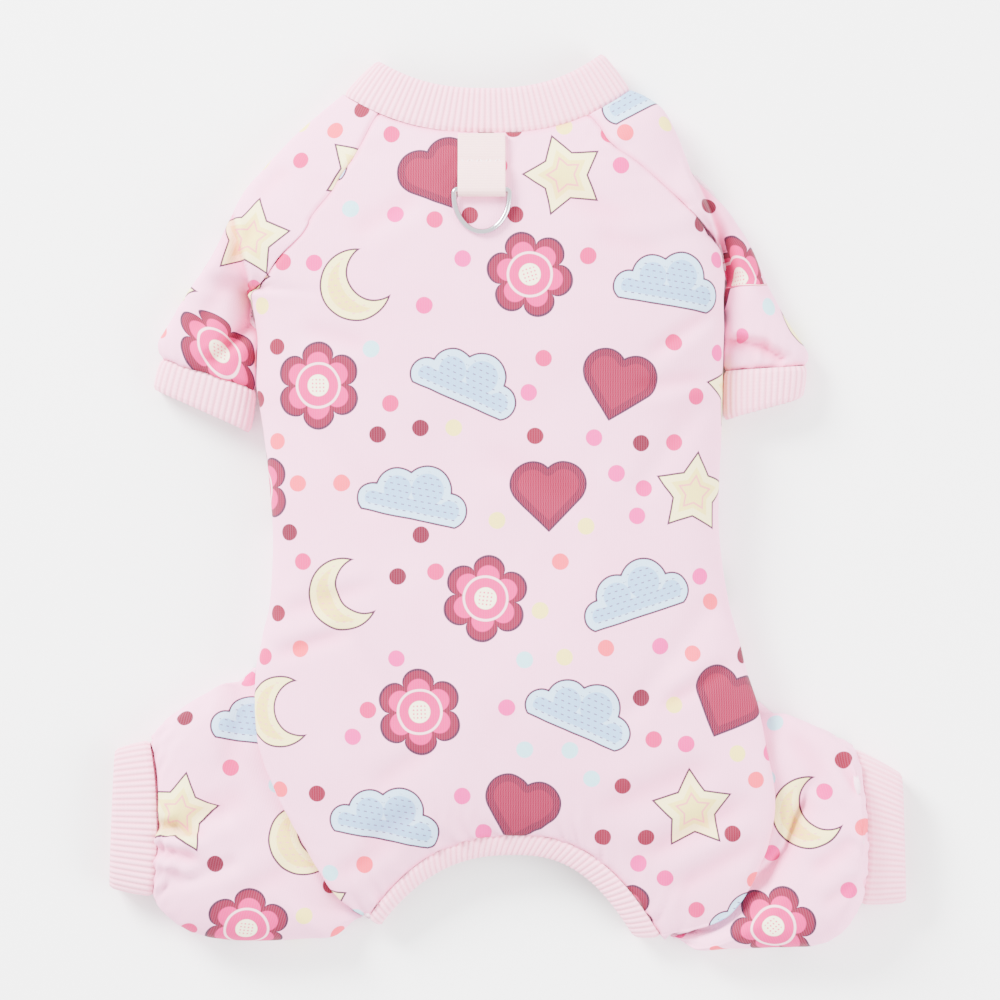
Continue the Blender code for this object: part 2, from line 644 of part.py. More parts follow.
def new_material(name):
    """A plain material of the named finish."""
    material = bpy.data.materials.new(name)
    material.use_nodes = True
    shader = material.node_tree.nodes["Principled BSDF"]
    red, green, blue, roughness, metallic = COLOURS[name]
    shader.inputs["Base Color"].default_value = (red, green, blue, 1)
    shader.inputs["Roughness"].default_value = roughness
    shader.inputs["Metallic"].default_value = metallic
    return material


def cloth_object(name, rows, closed, wall, finish, offset=-1.0, faces_down=False):
    """An open surface through the rows, with its wall on the inside."""
    columns = len(rows[0])
    body = bmesh.new()
    verts = [[body.verts.new(point) for point in row] for row in rows]
    last = columns if closed else columns - 1
    for lower, upper in zip(verts, verts[1:]):
        for column in range(last):
            after = (column + 1) % columns
            body.faces.new((lower[column], lower[after], upper[after], upper[column]))
    bmesh.ops.remove_doubles(body, verts=body.verts, dist=1e-6)
    body.normal_update()
    highest = max(body.faces, key=lambda face: face.calc_center_median().z)
    if (highest.normal.z < 0) != faces_down:
        bmesh.ops.reverse_faces(body, faces=body.faces)
    mesh = bpy.data.meshes.new(name)
    body.to_mesh(mesh)
    body.free()
    mesh.shade_smooth()
    mesh.materials.append(bpy.data.materials.get(finish) or new_material(finish))
    piece = bpy.data.objects.new(name, mesh)
    shell = piece.modifiers.new("wall", "SOLIDIFY")
    shell.thickness = wall
    shell.offset = offset
    return piece


def ring_object(plan_shift):
    """The D-ring's wire, with its origin on the bar's axis, lying on the back."""
    _, (bar_y, bar_z), (bow_y, bow_z) = strap_layout()
    curve = bpy.data.curves.new("d_ring", "CURVE")
    curve.dimensions = "3D"
    curve.bevel_depth = RING_WIRE / 2
    curve.bevel_resolution = 2
    curve.use_fill_caps = True
    points = ring_points()
    spline = curve.splines.new("POLY")
    spline.points.add(len(points) - 1)
    for slot, (x, y) in zip(spline.points, points):
        slot.co = (x, y, 0, 1)
    spline.use_cyclic_u = True
    curve.materials.append(new_material("chrome"))
    ring = bpy.data.objects.new("d_ring", curve)
    ring.location = (STRAP_X * CHEST_WIDTH + plan_shift[0], bar_y + plan_shift[1], bar_z)
    ring.rotation_euler = (-math.atan2(bow_z - bar_z, bar_y - bow_y), 0, 0)
    return ring


def build():
    """Makes every piece, moved so that the suit's outline is centred on the origin."""
    for thing in list(bpy.data.objects):
        bpy.data.objects.remove(thing)
    pieces = {
        "back_panel": (back_rows(), False, JERSEY_WALL, "jersey"),
        "belly_panel": (belly_rows(), False, JERSEY_WALL, "jersey"),
        "neck_collar": (collar_rows(), True, RIB_WALL, "rib"),
        "rump_binding": (binding_rows(), True, RIB_WALL, "rib"),
    }
    for side in OUTWARD:
        pieces[side + "_sleeve"] = (sleeve_rows(side), False, JERSEY_WALL, "jersey")
        pieces[side + "_leg"] = (leg_rows(side), True, JERSEY_WALL, "jersey")
        pieces[side + "_sleeve_cuff"] = (sleeve_cuff_rows(side), True, RIB_WALL, "rib")
        pieces[side + "_leg_cuff"] = (leg_cuff_rows(side), True, RIB_WALL, "rib")
    outline = np.concatenate([np.concatenate(rows) for rows, _, _, _ in pieces.values()])
    middle = (outline.min(axis=0) + outline.max(axis=0)) / 2
    shift = np.array([-middle[0], -middle[1], 0.0])
    suit = bpy.data.collections.new("dog_jumpsuit")
    bpy.context.scene.collection.children.link(suit)
    for name, (rows, closed, wall, finish) in pieces.items():
        moved = [[point + shift for point in row] for row in rows]
        faces_down = name == "belly_panel"
        suit.objects.link(cloth_object(name, moved, closed, wall, finish, faces_down=faces_down))
    strap = [[point + shift for point in row] for row in strap_rows()]
    suit.objects.link(cloth_object("leash_strap", strap, False, STRAP_THICKNESS, "webbing", 0.0))
    suit.objects.link(ring_object(shift))


build()
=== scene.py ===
"""Dressed model of a dog jumpsuit of printed jersey and ribbed knit, laid flat with its back up.

Metres, +X to the right as seen from above, +Y to the neck, +Z up. Left and right are those of the dog.
Each cloth piece is a fine grid lofted through the suit's sections, with its own seams, gathers and folds.
"""

from __future__ import annotations

import json
import logging
import math
from dataclasses import dataclass, field
from enum import Enum
from typing import Sequence

import bpy
import numpy as np
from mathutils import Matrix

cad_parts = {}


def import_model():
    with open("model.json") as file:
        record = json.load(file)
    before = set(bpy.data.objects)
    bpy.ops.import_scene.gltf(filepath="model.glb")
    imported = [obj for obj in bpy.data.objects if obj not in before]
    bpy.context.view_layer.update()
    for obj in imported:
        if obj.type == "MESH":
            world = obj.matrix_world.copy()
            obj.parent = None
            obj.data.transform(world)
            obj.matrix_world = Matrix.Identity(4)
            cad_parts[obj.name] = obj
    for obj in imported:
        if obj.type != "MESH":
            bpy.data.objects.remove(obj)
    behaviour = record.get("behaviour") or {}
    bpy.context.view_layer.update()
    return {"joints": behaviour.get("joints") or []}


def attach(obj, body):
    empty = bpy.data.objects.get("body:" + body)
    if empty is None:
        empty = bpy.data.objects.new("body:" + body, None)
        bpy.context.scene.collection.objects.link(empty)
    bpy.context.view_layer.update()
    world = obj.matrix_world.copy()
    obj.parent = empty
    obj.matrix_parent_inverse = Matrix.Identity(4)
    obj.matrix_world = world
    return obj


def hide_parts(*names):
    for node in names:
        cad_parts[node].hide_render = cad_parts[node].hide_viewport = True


logging.basicConfig(level=logging.INFO, format="%(message)s")
LOG = logging.getLogger("dog_jumpsuit")

Points = np.ndarray


class Side(Enum):
    """A side of the dog, with its direction along X."""

    LEFT = ("left", -1)
    RIGHT = ("right", 1)

    @property
    def word(self) -> str:
        """The side's name."""
        return self.value[0]

    @property
    def out(self) -> int:
        """The sign of the outward direction along X."""
        return self.value[1]


@dataclass(frozen=True)
class Sizes:
    """The suit's driving sizes, in metres, as its solids have them."""

    back_length: float = 0.297
    chest_width: float = 0.193
    torso_loft: float = 0.036
    side_roll: float = 0.004
    sleeve_inseam: float = 0.040
    sleeve_width: float = 0.043
    sleeve_loft: float = 0.018
    leg_inseam: float = 0.092
    leg_loft: float = 0.026
    collar_width: float = 0.0195
    sleeve_cuff_width: float = 0.0195
    leg_cuff_width: float = 0.0185
    binding_width: float = 0.0085
    jersey_wall: float = 0.0011
    rib_wall: float = 0.0018
    rib_pitch: float = 0.0027
    rib_depth: float = 0.00055
    piece_gap: float = 0.0007
    fold_gap: float = 0.0014
    floor_gap: float = 0.0012
    strap_width: float = 0.020
    strap_thickness: float = 0.0014
    strap_length: float = 0.0240
    ring_wire: float = 0.0024
    ring_width: float = 0.0256
    ring_reach: float = 0.0178
    ring_corner: float = 0.0014
    ring_straight: float = 0.0025
    ring_clearance: float = 0.0004


SIZES = Sizes()

# Names of the cloth coordinates and of the attribute of painted shade, which is 1 in the depth of a fold
CLOTH_LAYER = "cloth"
PAINTED_SHADE_LAYER = "hollow"

# How the sections curve: over the top, over a sleeve's outer edge, and in plan
TOP_POWER = 2.3
OVER_POWER = 3.0
BEND_POWER = 2.5

# How points are spread on a dense line: the length in metres that a radian of turn counts for, the steps that a turn is
# averaged over, a step short enough to leave out and the least length that is divided by
TURN_WEIGHT = 0.010
TURN_SPAN = 5
TINY = 1e-7
LEAST_STEP = 1e-9

# Points on a dense line over the top, round the edge and along the floor
TOP_STEPS = 90
EDGE_STEPS = 31
FLOOR_STEPS = 40

FULL_TURN = 2 * math.pi

# Kinds of socket, and the shader's steady inputs
FLOAT = "NodeSocketFloat"
COLOR = "NodeSocketColor"
VECTOR = "NodeSocketVector"
SHADER_LEVELS = {
    "sheen": "Sheen Weight", "sheen_roughness": "Sheen Roughness", "specular": "Specular IOR Level",
    "metal": "Metallic",
}

# Where a leg's first loop lies: its edge as a share of the leg's loft, and how far it keeps off notch and arch
ROOT_EDGE = 0.17
ROOT_START = 0.1
ROOT_END = 0.2

# Sections of the torso from collar seam to rump arch. Places are shares of the chest width and the back length,
# heights shares of the torso's loft. An end is 0 at the middle of the back, 1 at the edge, 2 on the floor under the
# edge and 3 at the middle of the belly.
TORSO_COLUMNS = (
    "mid_x back_y belly_y left_x left_y right_x right_y crown edge roll "
    "left_back_end right_back_end left_belly_end right_belly_end"
).split()
TORSO = [
    (-0.031, 0.521, 0.498, -0.356, 0.579, 0.276, 0.584, 0.66, 0.26, 1.00, 0.77, 0.70, 2.20, 2.24),
    (-0.036, 0.468, 0.444, -0.454, 0.525, 0.347, 0.556, 0.80, 0.28, 1.00, 0.70, 0.70, 2.25, 2.25),
    (-0.036, 0.411, 0.397, -0.534, 0.468, 0.407, 0.475, 0.90, 0.30, 1.00, 0.70, 0.84, 2.24, 2.14),
    (-0.036, 0.350, 0.343, -0.599, 0.407, 0.448, 0.401, 0.97, 0.38, 1.00, 0.73, 0.96, 2.20, 2.04),
    (-0.036, 0.290, 0.286, -0.570, 0.313, 0.479, 0.327, 1.00, 0.44, 1.00, 0.93, 2.00, 2.05, 2.00),
    (-0.034, 0.260, 0.260, -0.557, 0.280, 0.479, 0.290, 1.00, 0.43, 1.00, 2.00, 2.12, 2.00, 2.12),
    (-0.031, 0.215, 0.215, -0.544, 0.225, 0.479, 0.235, 1.00, 0.41, 1.00, 2.25, 2.34, 2.25, 2.34),
    (-0.031, 0.158, 0.158, -0.546, 0.162, 0.477, 0.168, 0.98, 0.38, 1.00, 2.44, 2.48, 2.44, 2.48),
    (-0.026, 0.084, 0.084, -0.527, 0.084, 0.474, 0.084, 0.96, 0.36, 1.00, 2.52, 2.52, 2.52, 2.52),
    (-0.021, -0.027, -0.027, -0.510, -0.034, 0.468, -0.034, 0.95, 0.36, 1.00, 2.48, 2.50, 2.48, 2.50),
    (-0.016, -0.135, -0.128, -0.518, -0.152, 0.492, -0.152, 0.96, 0.40, 1.00, 2.26, 2.36, 2.26, 2.36),
    (-0.005, -0.219, -0.195, -0.545, -0.232, 0.547, -0.279, 0.95, 0.52, 0.90, 2.00, 2.00, 2.02, 2.02),
    (0.005, -0.293, -0.262, -0.545, -0.337, 0.575, -0.364, 0.90, 0.57, 0.17, 2.00, 2.00, 2.02, 2.02),
    (0.010, -0.354, -0.318, -0.503, -0.418, 0.591, -0.438, 0.84, 0.56, 0.17, 2.00, 2.00, 2.02, 2.02),
    (0.016, -0.407, -0.368, -0.440, -0.495, 0.560, -0.522, 0.77, 0.50, 0.19, 2.00, 2.00, 2.02, 2.02),
    (0.018, -0.451, -0.410, -0.373, -0.566, 0.482, -0.599, 0.66, 0.40, 0.26, 2.00, 2.00, 2.02, 2.02),
    (0.021, -0.480, -0.438, -0.301, -0.599, 0.339, -0.626, 0.52, 0.28, 0.90, 2.00, 2.00, 2.02, 2.02),
]
ARCH = len(TORSO) - 1
BACK_STEP = 0.5
UNDERARM = {Side.LEFT: 5, Side.RIGHT: 4}
NOTCH = 11
STRAP_X = -0.052

# Where a band's free edge lies beyond its seam, in shares of the band's width, and its heights
COLLAR_REACH = {"mid": (-0.10, 0.98), "belly": (-0.10, 0.87), Side.LEFT: (0.74, 0.74), Side.RIGHT: (-0.62, 0.82)}
COLLAR_HEIGHTS = (0.60, 0.24)
BINDING_REACH = {"mid": (0.0, -1.02), "belly": (0.0, -0.90), Side.LEFT: (0.60, -0.40), Side.RIGHT: (-1.35, 0.0)}
BINDING_HEIGHTS = (0.44, 0.25)

# Sleeve arcs cut from the torso's sections, then rings from underarm to cuff seam, as the solids have them
SLEEVE_ARCS = {
    Side.LEFT: [(0, 0)] * 7 + [(0.20, 0.00), (0.42, 0.11), (0.56, 0.09), (0.66, 0.07)],
    Side.RIGHT: [(0, 0)] * 5 + [(0.11, 0.01), (0.24, 0.01), (0.33, 0.01), (0.38, 0.01)],
}
UNDERARM_REACH = 1.9
SLEEVE_RINGS = {
    Side.LEFT: [
        (0.28, 0.76, 0.22, 0.98), (0.55, 0.87, 0.29, 1.00),
        (0.78, 0.96, 0.34, 0.96), (0.92, 0.94, 0.31, 0.88),
    ],
    Side.RIGHT: [
        (0.25, 0.46, 0.03, 0.96), (0.50, 0.58, 0.03, 1.00), (0.76, 0.73, 0.04, 1.00),
        (0.94, 0.83, 0.05, 0.96), (1.07, 0.82, 0.05, 0.86),
    ],
}
SLEEVE_EDGE = 0.40
SLEEVE_CUFF_REACH = {
    Side.LEFT: {"inner": (0.13, -0.93), "outer": (0.18, -0.67)},
    Side.RIGHT: {"inner": (0.00, -1.06), "outer": (-0.09, -0.70)},
}
SLEEVE_CUFF_CROWN = 0.80

# Leg rings from the body fold to the cuff seam, as the solids have them
LEG_RINGS = {
    Side.LEFT: [
        (0.14, -0.10, 0.15, -0.08, 0.165, 0.84), (0.28, -0.17, 0.37, -0.10, 0.12, 0.97),
        (0.38, -0.24, 0.65, -0.10, 0.06, 1.00), (0.45, -0.30, 0.87, -0.04, 0.00, 0.88),
        (0.50, -0.365, 1.00, 0.10, -0.03, 0.70),
    ],
    Side.RIGHT: [
        (0.13, -0.09, 0.17, -0.06, 0.27, 0.84), (0.27, -0.14, 0.44, -0.05, 0.22, 0.98),
        (0.38, -0.20, 0.70, -0.04, 0.15, 1.00), (0.42, -0.22, 0.84, 0.02, 0.08, 0.92),
        (0.465, -0.25, 0.93, 0.15, 0.04, 0.72),
    ],
}
LEG_STEP = 0.7
LEG_EDGE = 0.40
LEG_CUFF_REACH = {
    Side.LEFT: {"top": (0.80, -0.21), "bottom": (0.98, 0.20)},
    Side.RIGHT: {"top": (1.10, -0.60), "bottom": (1.03, 0.05)},
}
LEG_CUFF_CROWN = 0.62

# Folds of the cloth: start and end as shares of the chest width and the back length, depth as a share of the torso's
# loft, width as a share of the chest width. A fold is a soft groove.
FOLD_COLUMNS = "start_x start_y end_x end_y depth width".split()
FOLDS = [
    (-0.41, -0.13, -0.27, -0.27, 0.05, 0.030),
    (0.44, -0.16, 0.28, -0.30, 0.05, 0.030),
    (0.42, 0.13, 0.30, 0.02, 0.04, 0.028),
    (-0.43, 0.11, -0.30, 0.00, 0.04, 0.026),
    (0.67, -0.41, 0.57, -0.54, 0.10, 0.022),
    (-0.62, -0.45, -0.74, -0.47, 0.08, 0.018),
    (-0.60, -0.52, -0.74, -0.55, 0.07, 0.018),
    (-0.60, 0.40, -0.57, 0.26, 0.06, 0.030),
    (-0.57, 0.24, -0.66, 0.19, 0.05, 0.026),
    (0.43, 0.46, 0.49, 0.30, 0.06, 0.028),
    (0.50, 0.21, 0.62, 0.20, 0.05, 0.024),
]


# Unevenness that all printed pieces share, so that they meet at their seams: sizes and heights of its lumps
SHARED_LUMPS = [(0.085, 0.0026), (0.042, 0.0014), (0.019, 0.0005)]
SHARED_SEED = 11
NOISE_CELLS = 32

# How puckers keep off their seam, and how deep a fold is that gets the full painted shade, in metres
SEAM_HOLD = 0.0018
FULL_SHADE_DEPTH = 0.005

# The share of a step that has to be level for the cloth to be laid out along it
LEVEL_SHARE = 0.35

# Heights over which the cloth becomes free to move, to crease and to drop beside a folded edge
FREE_HEIGHTS = (0.0008, 0.0050)
CREASE_HEIGHTS = (0.004, 0.010)
TERRACE_HEIGHTS = (0.003, 0.008)

# A crease's ridge: its height as a share of the depth, its place and its breadth in half widths
RIDGE_SHARE = 0.5
RIDGE_PLACE = 1.9
RIDGE_BREADTH = 1.6

# Where creases and folded edges begin and end, as shares of their way
CREASE_START = (-0.15, 0.25)
CREASE_END = (0.75, 1.15)
TERRACE_START = (0.0, 0.12)
TERRACE_END = (0.88, 1.0)

# A folded edge's lip: half its width in metres, and its height as a share of the drop
LIP = 0.0009
LIP_SHARE = 0.25
LIP_PLACE = 2.5

# The waves that puckers are mixed from, as (how many times as often, share), and how their height swings
PUCKER_WAVES = ((1.0, 0.45), (1.63, 0.3), (0.57, 0.35))
PUCKER_DRIFT = 0.5
PUCKER_SWING = 5.3
PUCKER_LEVEL = 0.6
PHASE_END = 6.28

# What is added to a limb's seed for the puckers at its cuff and at its side
CUFF_DRAW = 5
SIDE_DRAW = 9


@dataclass(frozen=True)
class SeamStyle:
    """How the cloth lies beside a seam, in metres: its puckers, and the dip where it turns down into the seam."""

    pitch: float
    height: float
    reach: float
    dip: float = 0.0007
    dip_reach: float = 0.0022


SEAMS = {
    "collar": SeamStyle(0.011, 0.00055, 0.010),
    "arch": SeamStyle(0.0095, 0.0024, 0.0110, 0.0008),
    "raglan": SeamStyle(0.013, 0.0006, 0.008),
    "sleeve_side": SeamStyle(0.012, 0.0005, 0.008),
    "sleeve_cuff": SeamStyle(0.0088, 0.0011, 0.010, 0.0009, 0.0024),
    "leg_cuff": SeamStyle(0.0105, 0.0017, 0.014, 0.0010, 0.0026),
}


def between_rows(rows: Sequence, at: float) -> np.ndarray:
    """Reads a smooth curve through the rows of a table.

    Args:
        rows: the table's rows, numbers or whole point rows.
        at: a fractional index.

    Returns:
        The row there.
    """
    rows = np.asarray(rows, float)
    at = min(max(at, 0.0), len(rows) - 1.0)
    low = min(int(at), len(rows) - 2)
    share = at - low
    start = rows[low]
    end = rows[low + 1]
    slope_start = (end - rows[max(low - 1, 0)]) / 2
    slope_end = (rows[min(low + 2, len(rows) - 1)] - start) / 2
    square = share**2
    cube = share**3
    return (
        (2 * cube - 3 * square + 1) * start
        + (cube - 2 * square + share) * slope_start
        + (3 * square - 2 * cube) * end
        + (cube - square) * slope_end
    )


def spread(points: Sequence, count: int, turn: float = TURN_WEIGHT) -> Points:
    """Places points along a dense line, evenly by length and by how much it turns.

    Args:
        points: the dense line.
        count: how many points are wanted.
        turn: the length that a turn of one radian counts for.

    Returns:
        The placed points, count by 3.
    """
    points = np.asarray(points, float)
    kept = np.concatenate([[True], np.linalg.norm(np.diff(points, axis=0), axis=1) > TINY])
    points = points[kept]
    steps = np.diff(points, axis=0)
    lengths = np.linalg.norm(steps, axis=1)
    unit = steps / lengths[:, None]
    turns = np.zeros(len(steps))
    turns[1:] = np.arccos(np.clip((unit[1:] * unit[:-1]).sum(axis=1), -1, 1))
    weights = lengths + turn * np.convolve(turns, np.ones(TURN_SPAN) / TURN_SPAN, mode="same")
    measure = run_of(weights)
    wanted = np.linspace(0, measure[-1], count)
    return np.stack([np.interp(wanted, measure, points[:, axis]) for axis in range(3)], axis=1)


def run_of(steps: np.ndarray) -> np.ndarray:
    """How far along each point lies, from the lengths of the steps between them."""
    return np.concatenate([[0], np.cumsum(steps)])


def toward(vector: np.ndarray) -> np.ndarray:
    """The vector at unit length."""
    return vector / np.linalg.norm(vector)


def ease(values: np.ndarray, low: float, high: float) -> np.ndarray:
    """A smooth step from 0 at low to 1 at high."""
    share = np.clip((values - low) / (high - low), 0, 1)
    return share * share * (3 - 2 * share)


def cloud(points: Points, size: float, seed: int) -> np.ndarray:
    """Smooth seeded noise in space.

    Args:
        points: where it is read, in metres, any shape with 3 last.
        size: the size of its lumps, in metres.
        seed: which noise.

    Returns:
        Values from -1 to 1.
    """
    table = np.random.default_rng(seed).uniform(-1, 1, (NOISE_CELLS, NOISE_CELLS, NOISE_CELLS))
    place = np.asarray(points) / size
    low = np.floor(place).astype(int)
    share = place - low
    share = share * share * (3 - 2 * share)
    total = np.zeros(place.shape[:-1])
    for corner in range(8):
        step = np.array([corner & 1, (corner >> 1) & 1, corner >> 2])
        index = (low + step) % NOISE_CELLS
        weight = np.where(step == 1, share, 1 - share).prod(axis=-1)
        total += weight * table[index[..., 0], index[..., 1], index[..., 2]]
    return total


@dataclass
class Section:
    """A flat-bottomed pillow section between two plan points, which the pieces are cut from.

    Reach 0 is the middle of the top, 1 the edge, 2 the floor under the edge and 3 the middle of the floor side.
    """

    mids: tuple[np.ndarray, np.ndarray]
    ends: dict
    crown: float
    edge: float
    roll_down: float
    along: np.ndarray

    def plan(self, side: object, share: float, level: float) -> np.ndarray:
        """The plan point at a share of the half width, level 0 on the top side and 1 on the floor side."""
        mid = self.mids[0] + (self.mids[1] - self.mids[0]) * level
        offset = self.ends[side] - mid
        share = max(share, 0.0)
        straight = self.along * (offset @ self.along)
        return mid + straight * share + (offset - straight) * share**BEND_POWER

    def half_width(self, side: object) -> float:
        """The half width on a side, measured along the section."""
        return abs((self.ends[side] - self.mids[0]) @ self.along)

    def point(self, side: object, reach: float) -> np.ndarray:
        """The section's point on a side, at a reach from 0 to 3."""
        width = self.half_width(side)
        roll_in = min(SIZES.side_roll, self.roll_down)
        if reach <= 1:
            inward = width * (1 - reach)
            height = self.edge + (self.crown - self.edge) * (1 - reach**TOP_POWER) ** (1 / TOP_POWER)
        elif reach <= 2:
            turn = (reach - 1) * math.pi / 2
            inward = roll_in * (1 - math.cos(turn))
            height = self.edge - self.roll_down * math.sin(turn)
        else:
            inward = roll_in + (width - roll_in) * (reach - 2)
            height = 0.0
        level = min(max(reach - 1, 0.0), 1.0)
        return np.array([*self.plan(side, 1 - inward / width, level), height])

    def cut(self, side: object, start: float, end: float) -> list[np.ndarray]:
        """A dense line along one side of the section, between two reaches."""
        reaches = [math.sin(angle) for angle in np.linspace(0, math.pi / 2, TOP_STEPS)]
        reaches += list(np.linspace(1, 2, EDGE_STEPS)[1:])
        reaches += list(np.linspace(2, 3, FLOOR_STEPS)[1:])
        return [self.point(side, r) for r in [start] + [r for r in reaches if start < r < end] + [end]]

    def loop(self, first: object, second: object) -> list[np.ndarray]:
        """The whole section, from the floor under its first end, over the top and back along the floor."""
        return (
            self.cut(first, 0, 2)[::-1]
            + self.cut(second, 0, 3)[1:]
            + self.cut(first, 2, 3)[::-1][1:]
        )


def tube_section(
    first: np.ndarray, second: np.ndarray, names: tuple[str, str], crown: float, edge: float, bend: np.ndarray
) -> Section:
    """A flat-bottomed section between two plan points, its middle moved aside by the bend."""
    mid = (first + second) / 2 + bend
    ends = {names[0]: first, names[1]: second}
    return Section((mid, mid), ends, crown, edge, edge, toward(second - first))


@dataclass
class ClothGrid:
    """A cloth surface as a grid: rows run along the piece, and columns across it or round it.

    Attributes:
        points: rows by columns by 3.
        closed: whether each row is a loop.
        flat: where each point lies on the cloth laid out flat.
        hollow: painted shade, by how deep in a fold or how near a seam each point lies, from 0 to 1, rows by columns.
    """

    points: Points
    closed: bool = False
    flat: Points | None = None
    hollow: np.ndarray = field(init=False)

    def __post_init__(self) -> None:
        """Starts with no folds and no painted shade."""
        self.hollow = np.zeros(self.points.shape[:2])

    @staticmethod
    def loft(keys: Sequence, rows: int, closed: bool = False) -> "ClothGrid":
        """A fine grid on a smooth surface through key rows.

        Args:
            keys: the key rows, each with the same number of columns.
            rows: how many rows are wanted.
            closed: whether each row is a loop.

        Returns:
            The grid, with rows evenly apart.
        """
        keys = np.asarray(keys, float)
        gaps = np.linalg.norm(np.diff(keys, axis=0), axis=2).mean(axis=1)
        run = run_of(gaps)
        at = np.interp(np.linspace(0, run[-1], rows), run, np.arange(len(keys)))
        return ClothGrid(np.array([between_rows(keys, index) for index in at]), closed)

    def normals(self) -> Points:
        """Unit normals that point out of the cloth, up where the piece is highest."""
        down = np.gradient(self.points, axis=0)
        if self.closed:
            over = (np.roll(self.points, -1, axis=1) - np.roll(self.points, 1, axis=1)) / 2
        else:
            over = np.gradient(self.points, axis=1)
        found = np.cross(down, over)
        found /= np.maximum(np.linalg.norm(found, axis=2, keepdims=True), 1e-12)
        top = np.unravel_index(np.argmax(self.points[..., 2]), self.points.shape[:2])
        return found if found[top][2] > 0 else -found

    def along(self) -> np.ndarray:
        """Distance of each point from the first row, along its column."""
        steps = np.linalg.norm(np.diff(self.points, axis=0), axis=2)
        return np.concatenate([np.zeros((1, steps.shape[1])), np.cumsum(steps, axis=0)])

    def across(self) -> np.ndarray:
        """Distance of each point from the first column, along its row."""
        steps = np.linalg.norm(np.diff(self.points, axis=1), axis=2)
        return np.concatenate([np.zeros((steps.shape[0], 1)), np.cumsum(steps, axis=1)], axis=1)

    def raise_by(self, amount: np.ndarray) -> None:
        """Moves the cloth along its normals, less and less near the floor, which it never goes under."""
        free = ease(self.points[..., 2], *FREE_HEIGHTS)
        self.points = self.points + self.normals() * (amount * free)[..., None]
        self.points[..., 2] = np.maximum(self.points[..., 2], 0.0)

    def press(self) -> None:
        """Presses the suit's folds into the upper side, each a soft groove."""
        depth = np.zeros(self.points.shape[:2])
        for fold in FOLDS:
            row = dict(zip(FOLD_COLUMNS, fold))
            start = np.array([row["start_x"] * SIZES.chest_width, row["start_y"] * SIZES.back_length])
            end = np.array([row["end_x"] * SIZES.chest_width, row["end_y"] * SIZES.back_length])
            run = end - start
            flat = self.points[..., :2] - start
            share = np.clip(flat @ run / (run @ run), 0, 1)
            away = np.linalg.norm(flat - share[..., None] * run, axis=2) / (row["width"] * SIZES.chest_width)
            depth += row["depth"] * SIZES.torso_loft * np.exp(-(away**2))
        low = SIZES.sleeve_loft / 2
        weight = np.clip((self.points[..., 2] - low) / low, 0, 1)
        self.points[..., 2] -= depth * weight

    def crease(self, start: tuple, end: tuple, depth: float, width: float, share: np.ndarray) -> None:
        """Presses one fold, sharper than the solids' own, and paints shade into its groove.

        Args:
            start: plan point where it starts, in metres.
            end: plan point where it ends.
            depth: its depth in metres.
            width: its half width in metres.
            share: how much of it each point takes.
        """
        first = np.array(start)
        run = np.array(end) - first
        flat = self.points[..., :2] - first
        way = flat @ run / (run @ run)
        inside = ease(way, *CREASE_START) * (1 - ease(way, *CREASE_END)) * share
        side = (flat[..., 0] * run[1] - flat[..., 1] * run[0]) / np.linalg.norm(run) / width
        groove = np.exp(-(side**2)) - RIDGE_SHARE * np.exp(-((side - RIDGE_PLACE) ** 2) / RIDGE_BREADTH)
        upper = ease(self.points[..., 2], *CREASE_HEIGHTS)
        self.raise_by(-depth * groove * inside * upper)
        # Painted shade in the groove, by its depth
        self.hollow = self.hollow + np.maximum(groove, 0) * inside * upper * depth / FULL_SHADE_DEPTH

    def terrace(self, line: Sequence[tuple], drop: float, reach: float, share: np.ndarray) -> None:
        """Lowers the cloth beside a folded edge, to the right of the line's way, and paints shade there.

        Args:
            line: plan points of the edge, in metres.
            drop: how far it drops at the edge.
            reach: how soon it rises again.
            share: how much of it each point takes.
        """
        flat = self.points[..., :2]
        nearest = np.full(flat.shape[:2], np.inf)
        signed = np.zeros(flat.shape[:2])
        total = len(line) - 1
        inside = np.zeros(flat.shape[:2])
        for step, (first, second) in enumerate(zip(line, line[1:])):
            first = np.array(first)
            run = np.array(second) - first
            way = np.clip((flat - first) @ run / (run @ run), 0, 1)
            offset = flat - first - way[..., None] * run
            away = np.linalg.norm(offset, axis=2)
            cross = offset[..., 0] * run[1] - offset[..., 1] * run[0]
            closer = away < nearest
            nearest = np.where(closer, away, nearest)
            signed = np.where(closer, away * np.sign(cross), signed)
            inside = np.where(closer, (step + way) / total, inside)
        fade = ease(inside, *TERRACE_START) * (1 - ease(inside, *TERRACE_END))
        profile = ease(signed, -LIP, LIP) * np.exp(-np.maximum(signed, 0) / reach)
        lift = LIP_SHARE * np.exp(-((signed + LIP_PLACE * LIP) ** 2) / (2 * LIP) ** 2)
        upper = ease(self.points[..., 2], *TERRACE_HEIGHTS)
        self.points[..., 2] -= drop * (profile - lift) * fade * upper * share
        # Painted shade where the cloth drops beside the edge
        self.hollow = self.hollow + profile**2 * fade * upper * share * drop / FULL_SHADE_DEPTH

    def ripple(self, lumps: Sequence[tuple[float, float]], seed: int, share: object = 1.0) -> None:
        """Makes the cloth uneven with soft noise.

        Args:
            lumps: (size, height) pairs in metres.
            seed: which noise.
            share: how much of it each point takes.
        """
        total = np.zeros(self.points.shape[:2])
        for step, (size, height) in enumerate(lumps):
            total += height * cloud(self.points, size, seed + step)
        self.raise_by(total * share * np.clip(self.normals()[..., 2], 0, 1))

